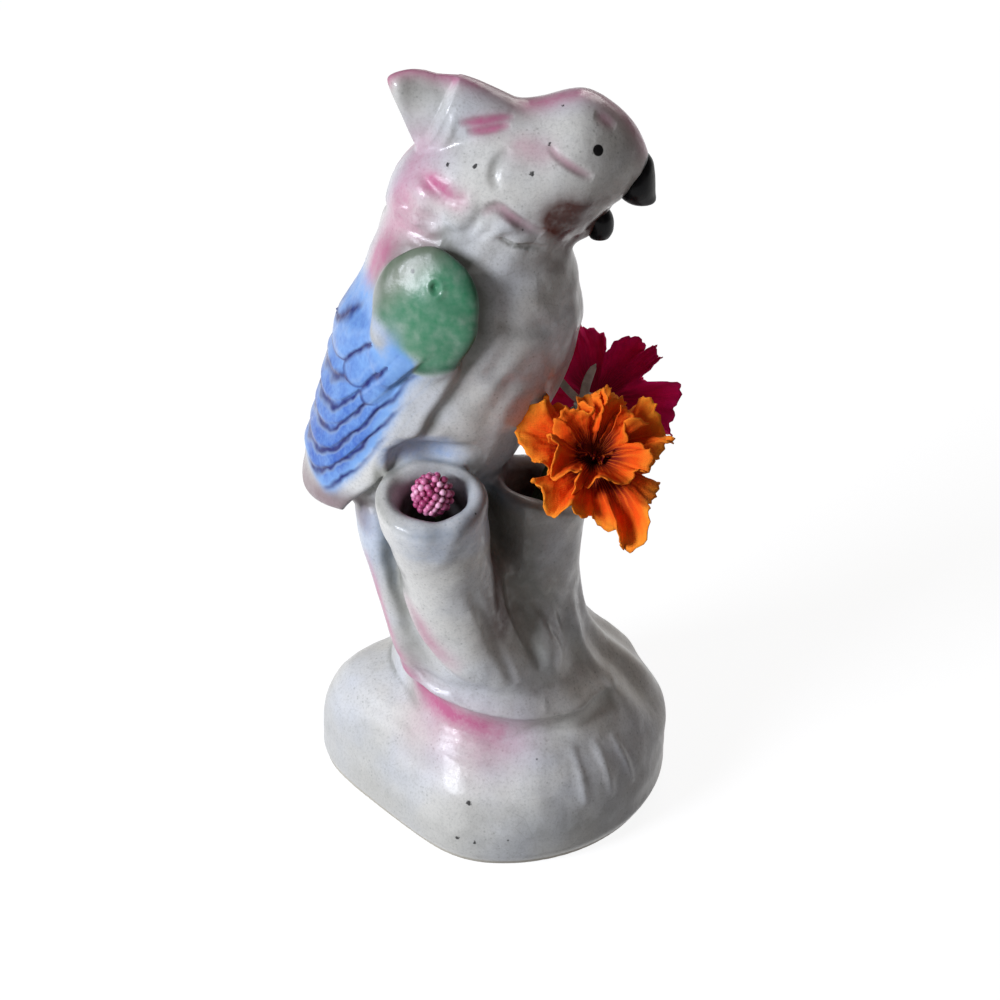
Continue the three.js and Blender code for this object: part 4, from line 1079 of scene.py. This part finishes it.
BEAKS = {
    "upper_beak": [
        (119.4, 24.9, 0.5, 0.4), (119.8, 24.8, 2.3, 2.2), (121.2, 24.1, 3.1, 3.6), (123.2, 23.9, 3.2, 4.5),
        (125.4, 24.3, 2.6, 4.2), (127.4, 24.5, 1.9, 3.0), (128.9, 24.5, 0.8, 1.2),
    ],
    "lower_beak": [
        (112.7, 17.9, 0.4, 0.4), (113.2, 17.9, 1.7, 1.8), (115, 18, 2.3, 2.8), (117, 17.7, 2.4, 3.0),
        (118.6, 17.2, 2, 2.4),
    ],
}
enamel = black_glaze()
for name, table in BEAKS.items():
    new_piece(name + "_enamel", *beak(table), enamel, "figurine", [name], "black_glaze")


# Cloth carnations and the beaded pick


THREADS_PER_METRE = 4200


def cloth(name, heart, body, edge, seam):
    """Thin dyed cloth: dark in the heart, partly dye and partly painted shade in the flower's hollow, paler
    at the pinked edge, with radial veins and a fine weave.
    """
    f = Finish(name, Specular_IOR_Level=0.15)
    reach, vein = f.value_of("reach"), f.value_of("vein")
    patch = f.noise(2.4, 3)
    colour = f.mix((reach + 0.25 * (patch - 0.5)).step(0.32, 0.74), heart, body)
    colour = f.mix(((reach + 0.2 * (patch - 0.5)).step(0.72, 1.02)) * 0.85, colour, edge)
    colour = f.mix(vein.step(0.55, 0.95) * (0.25 + 0.5 * patch), colour, seam)
    weave = f.cells(PER_METRE / THREADS_PER_METRE, scatter=0.4)
    colour = f.mix(weave.step(0.35, 0.8) * 0.18, colour, heart)
    rough = 0.75 + 0.15 * patch
    return f.finish(weave + 0.8 * f.noise(0.9, 3), 0.35, 0.0003, Base_Color=colour, Roughness=rough)


FLOWER_AT = {"orange": (16.6, -15, 76), "magenta": (17.6, 5.6, 77.4)}
FLOWER_AXIS = {"orange": (0.16, -0.18, 0.96), "magenta": (0.38, 0.88, -0.1)}
NEAR_WAY = {"orange": (0, -1, -0.1), "magenta": (0.6, -0.2, -0.75)}
LOBES, RUFFLE = 5, 0.42
PETAL_ROWS, PETAL_AROUND = 26, 320
CLOTH_THICKNESS = 0.22


def petal_rays(length, hang, seed, t):
    """Lengths of a disc's rays at the angles t: lobes parted by notches, a pinked edge, one longer lobe."""
    share = LOBES * t / (2 * np.pi) + 0.12 * np.sin(2 * t + seed)
    share = share - np.floor(share)
    notch = np.abs(2 * share - 1) ** 5
    teeth = np.abs((np.arange(PETAL_AROUND)[None] % 4) / 2 - 1) - 0.5
    uneven = 1 + 0.05 * np.cos(6 * np.pi * share + seed) + 0.06 * np.sin(3 * t + 2 * seed)
    ray = length * (1 - 0.34 * notch) * uneven + 0.45 * teeth
    return ray * (1 + hang * np.exp(-(((t - 0.55) / 0.32) ** 2)))


def petal_lean(spread, tilt, seed, s, t):
    """Angle from the axis at shares s of the rays: a growing spread, a tilt to one side, ruffles, a curl."""
    lean = spread + tilt * np.cos(t) + 0.12 * np.sin(2 * t + seed)
    wave = np.sin(11 * t + 1.6 * np.sin(2 * t + seed) + seed) * (1 + 0.5 * np.sin(3 * t + 1.3 * seed))
    wave = wave + 0.55 * np.sin(23 * t + 2.2 * np.sin(3 * t + seed)) * s
    curl = 0.55 * np.maximum(s - 0.7, 0) / 0.3 * (0.3 + np.sin(5 * t + seed))
    return lean * (0.45 + 0.55 * s**0.6) + RUFFLE * s**2 * wave + curl


def grid_area(grid):
    """Area of a grid that closes round on itself: half the cross product of each quad's diagonals."""
    beside = np.roll(grid, -1, 1)
    return 0.5 * np.linalg.norm(np.cross(beside[1:] - grid[:-1], grid[1:] - beside[:-1]), axis=-1).sum()


def petal_layer(flower, layer, length, spread, tilt, lift, seed, hang, shade):
    """A disc of cloth gathered at its middle: each ray is summed along its lean, so its length is kept, and
    turned a little round the axis, then the whole is crumpled by lumps that grow to the rim."""
    s = np.linspace(0.04, 1, PETAL_ROWS)[:, None]
    t = np.linspace(0, 2 * np.pi, PETAL_AROUND, endpoint=False)[None]
    ray = petal_rays(length, hang, seed, t)
    lean = petal_lean(spread, tilt, seed, s, t)
    ds = np.diff(np.r_[0, s[:, 0]])[:, None]
    out = np.cumsum(np.sin(lean) * ray * ds, axis=0)[..., None]
    up = np.cumsum(np.cos(lean) * ray * ds, axis=0)[..., None]
    turn = (t + 0.16 * s**2 * np.sin(5 * t + 2 * seed) + 0.05 * s * np.sin(13 * t + seed))[..., None]
    axis = unit(FLOWER_AXIS[flower])
    one = np.array(NEAR_WAY[flower], float)
    one = unit(one - axis * (one @ axis))
    two = np.cross(axis, one)
    origin = np.array(FLOWER_AT[flower]) + lift * axis
    points = (origin + out * (np.cos(turn) * one + np.sin(turn) * two) + up * axis).reshape(-1, 3)
    rise = np.repeat(s[:, 0], PETAL_AROUND)
    points = points + 0.22 * np.stack([lumps(points, 1.1, seed + k) for k in range(3)], 1) * rise[:, None]
    area = float(grid_area(points.reshape(PETAL_ROWS, PETAL_AROUND, 3)) * MM**2)
    faces = grid_faces(PETAL_ROWS, PETAL_AROUND, poles=False)
    j = np.arange(PETAL_AROUND)
    faces += np.stack([(j + 1) % PETAL_AROUND, j, np.full(PETAL_AROUND, len(points))], 1).tolist()
    points = np.vstack([points, points[:PETAL_AROUND].mean(0)])
    node, dyed, body = flower + "_" + layer + "_petals", flower + "_cloth", flower + "_carnation"
    piece = new_piece(node + "_cloth", points, faces, CLOTHS[flower], body, [node], dyed)
    vein = 0.5 + 0.5 * np.sin(64 * t + 5 * np.sin(3 * t) + 4 * s)
    # The shade number holds a layer towards the heart colour: painted shade in the flower's hollow.
    write_values(piece, reach=shade * np.r_[rise, 0.0], vein=np.r_[vein.reshape(-1), 0.0])
    wall = piece.modifiers.new("cloth", "SOLIDIFY")
    wall.thickness, wall.offset = CLOTH_THICKNESS * MM, 0
    width = 2 * ray.max() * MM


CUP_LENGTH, CUP_RADIUS = 6.0, 2.5
CUP_PROFILE = np.array([
    (-CUP_LENGTH, 1.0), (-0.7 * CUP_LENGTH, 1.5), (-0.4 * CUP_LENGTH, CUP_RADIUS), (-1.2, CUP_RADIUS),
    (-0.8, 0.85 * CUP_RADIUS),
])


def calyx_leaf(origin, axis, way, k):
    """A curved spine out along a way, with a thin, bowed section that narrows at both ends."""
    across = np.cross(axis, way)
    s = np.linspace(0, 1, 12)[:, None]
    spine = np.array(origin) + axis * (-3.2 - 1.2 * s + 1.4 * s**2) + way * (1.4 + 7.6 * s)
    spine = spine + across * 0.8 * np.sin(2 * s + k)
    wide = (0.75 * np.sqrt(np.maximum(1 - (1.3 * s - 0.3) ** 4, 0)) + 0.1)[..., None]
    a = np.linspace(0, 2 * np.pi, 10, endpoint=False)[None, :, None]
    bowed = 0.22 * np.sin(a) - 0.3 * wide * np.cos(a) ** 2
    return closed_loft((spine[:, None] + wide * np.cos(a) * across + bowed * axis)[:, ::-1])


def calyx(origin, axis, leaves):
    """A ribbed cup turned round the axis, under the petals, and narrow curved leaves round it."""
    axis = unit(axis)
    one = unit(np.cross(axis, (0.2, 0.3, 0.93)))
    two = np.cross(axis, one)
    turn = np.linspace(0, 2 * np.pi, 24, endpoint=False)[None, :, None]
    ring = np.cos(turn) * one + np.sin(turn) * two
    height, radius = CUP_PROFILE.T[:, :, None, None]
    parts = [closed_loft(np.array(origin) + height * axis + radius * (1 + 0.06 * np.cos(10 * turn)) * ring)]
    for k in range(leaves):
        angle = 2 * np.pi * k / leaves + 0.4 * math.sin(3.0 * k)
        parts.append(calyx_leaf(origin, axis, math.cos(angle) * one + math.sin(angle) * two, k))
    return joined(parts)


def stalk_finish(name, dark, light):
    """Moulded plastic or paper-wrapped wire: lengthways mottling and a dull sheen."""
    f = Finish(name)
    colour = f.mix(f.noise(1.8, 4, 0.6).step(0.35, 0.7), dark, light)
    return f.finish(f.noise(0.5, 3), 0.3, 0.0003, Base_Color=colour, Roughness=0.5 + 0.25 * f.noise(0.8))


CLOTHS = {
    "orange": cloth(
        "orange_cloth", (0.13, 0.002, 0.004), (0.88, 0.085, 0.003), (1.0, 0.34, 0.025), (0.95, 0.17, 0.01),
    ),
    "magenta": cloth(
        "magenta_cloth", (0.3, 0.001, 0.03), (0.9, 0.004, 0.12), (0.98, 0.01, 0.18), (0.68, 0.003, 0.085),
    ),
}
beige_cloth = stalk_finish("beige_cloth", (0.38, 0.34, 0.29), (0.62, 0.57, 0.5))
green_plastic = stalk_finish("green_plastic", (0.04, 0.07, 0.025), (0.1, 0.14, 0.06))

# Layer, ray length, spread, tilt, lift, seed, hang of the longer lobe and shade at the rim
# A shade below 1 darkens a layer towards the heart colour as painted shade in the orange flower's hollow.
PETAL_LAYERS = (
    ("outer", 14.8, 1.45, 0.5, 0.0, 0.7, 0.3, 1.0),
    ("middle", 13.0, 0.8, 0.6, 1.0, 2.3, 0.0, 0.9),
    ("inner", 5.2, 0.8, 0.2, 1.8, 5.1, 0.0, 0.1),
)
for layer, length, spread, tilt, lift, seed, hang, shade in PETAL_LAYERS:
    petal_layer("orange", layer, length, spread, tilt, lift, seed, hang, shade)
    petal_layer("magenta", layer, 1.04 * length, spread - 0.1, 0.25, lift, seed + 1.9, 0.0, 1.0)

CALYXES = (("orange", 0, green_plastic, "green_plastic"), ("magenta", 5, beige_cloth, "beige_cloth"))
for flower, leaves, material, slot in CALYXES:
    cup = calyx(FLOWER_AT[flower], FLOWER_AXIS[flower], leaves)
    new_piece(flower + "_calyx_cup", *cup, material, flower + "_carnation", [flower + "_calyx"], slot)


def stem(foot, pull, origin, axis):
    """The wire from the bore up to the calyx: straight along the pull, then bent over the mouth's edge."""
    foot, pull, origin, axis = np.array(foot), unit(pull), np.array(origin), unit(axis)
    bend, top = foot + 14.5 * pull, origin - 6.2 * axis
    path = [foot, foot + 8 * pull, bend, (bend + top) / 2 + (0, 0, 1.0), top]
    return rod(path, [0.8, 0.8, 0.8, 0.85, 0.95])


STEM_FOOT = {"orange": (3.72, -4.9, 52.5), "magenta": (3.72, -2.8, 52.5)}
STEM_PULL = {"orange": (0.36, -0.16, 0.92), "magenta": (0.36, 0.04, 0.93)}
for flower, foot in STEM_FOOT.items():
    wire = stem(foot, STEM_PULL[flower], FLOWER_AT[flower], FLOWER_AXIS[flower])
    body, node = flower + "_carnation", flower + "_stem"
    new_piece(node + "_wire", *wire, green_plastic, body, [node], "green_plastic")


def pink_bead():
    """Pearly pink plastic, each bead its own shade."""
    f = Finish("pink_bead", Coat_Weight=0.3, Coat_Roughness=0.15)
    tone = f.value_of("tone")
    colour = f.mix(tone, (0.4, 0.04, 0.15), (0.85, 0.28, 0.5))
    colour = f.mix(tone.step(0.8, 1.0) * 0.6, colour, (0.95, 0.6, 0.75))
    return f.finish(f.noise(0.5, 2), 0.15, 0.0002, Base_Color=colour, Roughness=0.32 + 0.15 * f.noise(0.7))


def bead_cluster(middle, reach, count, size):
    """Small balls in a spiral round a middle, at depths and sizes that vary by their number."""
    k = np.arange(count)
    rise = 1 - (2 * k + 1) / count
    turn = k * np.pi * (3 - math.sqrt(5))
    wide = np.sqrt(1 - rise**2)
    depth = reach * (1 + 0.1 * np.sin(2.4 * k))
    ways = np.stack([wide * np.cos(turn), wide * np.sin(turn), 1.05 * rise], 1)
    centre = np.array(middle) + depth[:, None] * ways
    radius = size * (0.86 + 0.16 * np.sin(1.7 * k + 1))
    up = np.linspace(0, np.pi, 8)[1:-1, None]
    on = np.linspace(0, 2 * np.pi, 10, endpoint=False)[None]
    ball = np.stack([np.sin(up) * np.cos(on), np.sin(up) * np.sin(on), -np.cos(up) + 0 * on], -1)
    parts = [closed_loft(c + r * ball) for c, r in zip(centre, radius)]
    tone = np.repeat(0.5 + 0.5 * np.sin(5.3 * k + 0.6), len(parts[0][0]))
    return joined(parts), tone


BERRY_MIDDLE, BERRY_REACH, BEADS, BEAD_SIZE = np.array((-10.6, -23.5, 75.6)), 3.2, 84, 0.68
CORE_HALF, CORE_RADII = np.array((0, 0, 2.5)), [1.2, 2.7, 1.2]
WIRE_FOOT, WIRE_PULL, WIRE_RADIUS = np.array((-8.04, -14.69, 51.7)), unit((-0.1, -0.344, 0.934)), 0.6

beads, tone = bead_cluster(BERRY_MIDDLE, BERRY_REACH, BEADS, BEAD_SIZE)
core = rod([BERRY_MIDDLE - CORE_HALF, BERRY_MIDDLE, BERRY_MIDDLE + CORE_HALF], CORE_RADII)
cluster = joined([beads, core])
pearl = pink_bead()
berries = new_piece("berry_cluster_beads", *cluster, pearl, "berry_pick", ["berry_cluster"], "pink_bead")
write_values(berries, tone=np.r_[tone, np.zeros(len(core[0]))])
wire = rod([WIRE_FOOT + reach * WIRE_PULL for reach in (0, 7, 14, 21.5)], WIRE_RADIUS)
new_piece("berry_wire_stalk", *wire, green_plastic, "berry_pick", ["berry_wire"], "green_plastic")


# Stage, light and camera


def pale_floor():
    """A plain pale floor that keeps the shadow, lifted towards white where a camera or glossy ray sees it."""
    f = Finish("pale_floor", Roughness=0.9)
    kinds = ("Is Camera Ray", "Is Glossy Ray", "Is Transmission Ray")
    camera_ray, glossy_ray, clear_ray = [f.add("ShaderNodeLightPath", out=kind) for kind in kinds]
    seen = f.math("MAXIMUM", f.math("MAXIMUM", camera_ray, glossy_ray), clear_ray)
    f.finish(Base_Color=f.mix(seen, (0.35, 0.35, 0.35), (0.8, 0.8, 0.8)))
    white = f.add("ShaderNodeEmission", None, {"Color": (1, 1, 1), "Strength": 1.2})
    blend = f.add("ShaderNodeMixShader", None, {0: seen * 0.75, 1: Value(f, f.shader.outputs[0]), 2: white})
    f.links.new(blend.socket, f.nodes["Material Output"].inputs["Surface"])
    return f.material


FLOOR = 15
floor_mesh = bpy.data.meshes.new("floor")
corners = [(-FLOOR, -FLOOR, 0), (FLOOR, -FLOOR, 0), (FLOOR, FLOOR, 0), (-FLOOR, FLOOR, 0)]
floor_mesh.from_pydata(corners, [], [(0, 1, 2, 3)])
floor_mesh.materials.append(pale_floor())
floor = bpy.data.objects.new("floor", floor_mesh)
bpy.context.scene.collection.objects.link(floor)


LAMP_AIM = (0, 0, 0.07)


def lamp(name, place, width, watts, tint):
    """A square soft lamp at a place, facing the figurine's middle."""
    light = bpy.data.lights.new(name, "AREA")
    light.size, light.energy, light.color = width, watts, tint
    holder = bpy.data.objects.new(name, light)
    holder.location = place
    x, y, z = np.array(place) - np.array(LAMP_AIM)
    holder.rotation_euler = (math.atan2(math.hypot(x, y), z), 0, math.atan2(x, -y))
    bpy.context.scene.collection.objects.link(holder)


lamp("window", (-0.66, -0.44, 0.42), 0.3, 9.0, (0.87, 0.91, 1.0))
lamp("fill", (0.5, -0.55, 0.3), 0.4, 0.14, (1.0, 0.82, 0.78))
lamp("back", (0.25, 0.75, 0.5), 0.5, 2.2, (1.0, 0.97, 0.95))

world = bpy.data.worlds.new("studio")
bpy.context.scene.world = world
world.use_nodes = True
world.node_tree.nodes["Background"].inputs["Color"].default_value = (1, 0.94, 0.93, 1)
world.node_tree.nodes["Background"].inputs["Strength"].default_value = 0.1

CAMERA_PLACE, CAMERA_FALL = (0.0009, -0.345, 0.278), 32.3
camera = bpy.data.objects.new("camera", bpy.data.cameras.new("camera"))
camera.data.lens = 80
camera.data.sensor_width = 36
camera.location = CAMERA_PLACE
camera.rotation_euler = (math.radians(90 - CAMERA_FALL), 0, 0)
bpy.context.scene.collection.objects.link(camera)
bpy.context.scene.camera = camera
bpy.context.scene.view_settings.view_transform = "Standard"
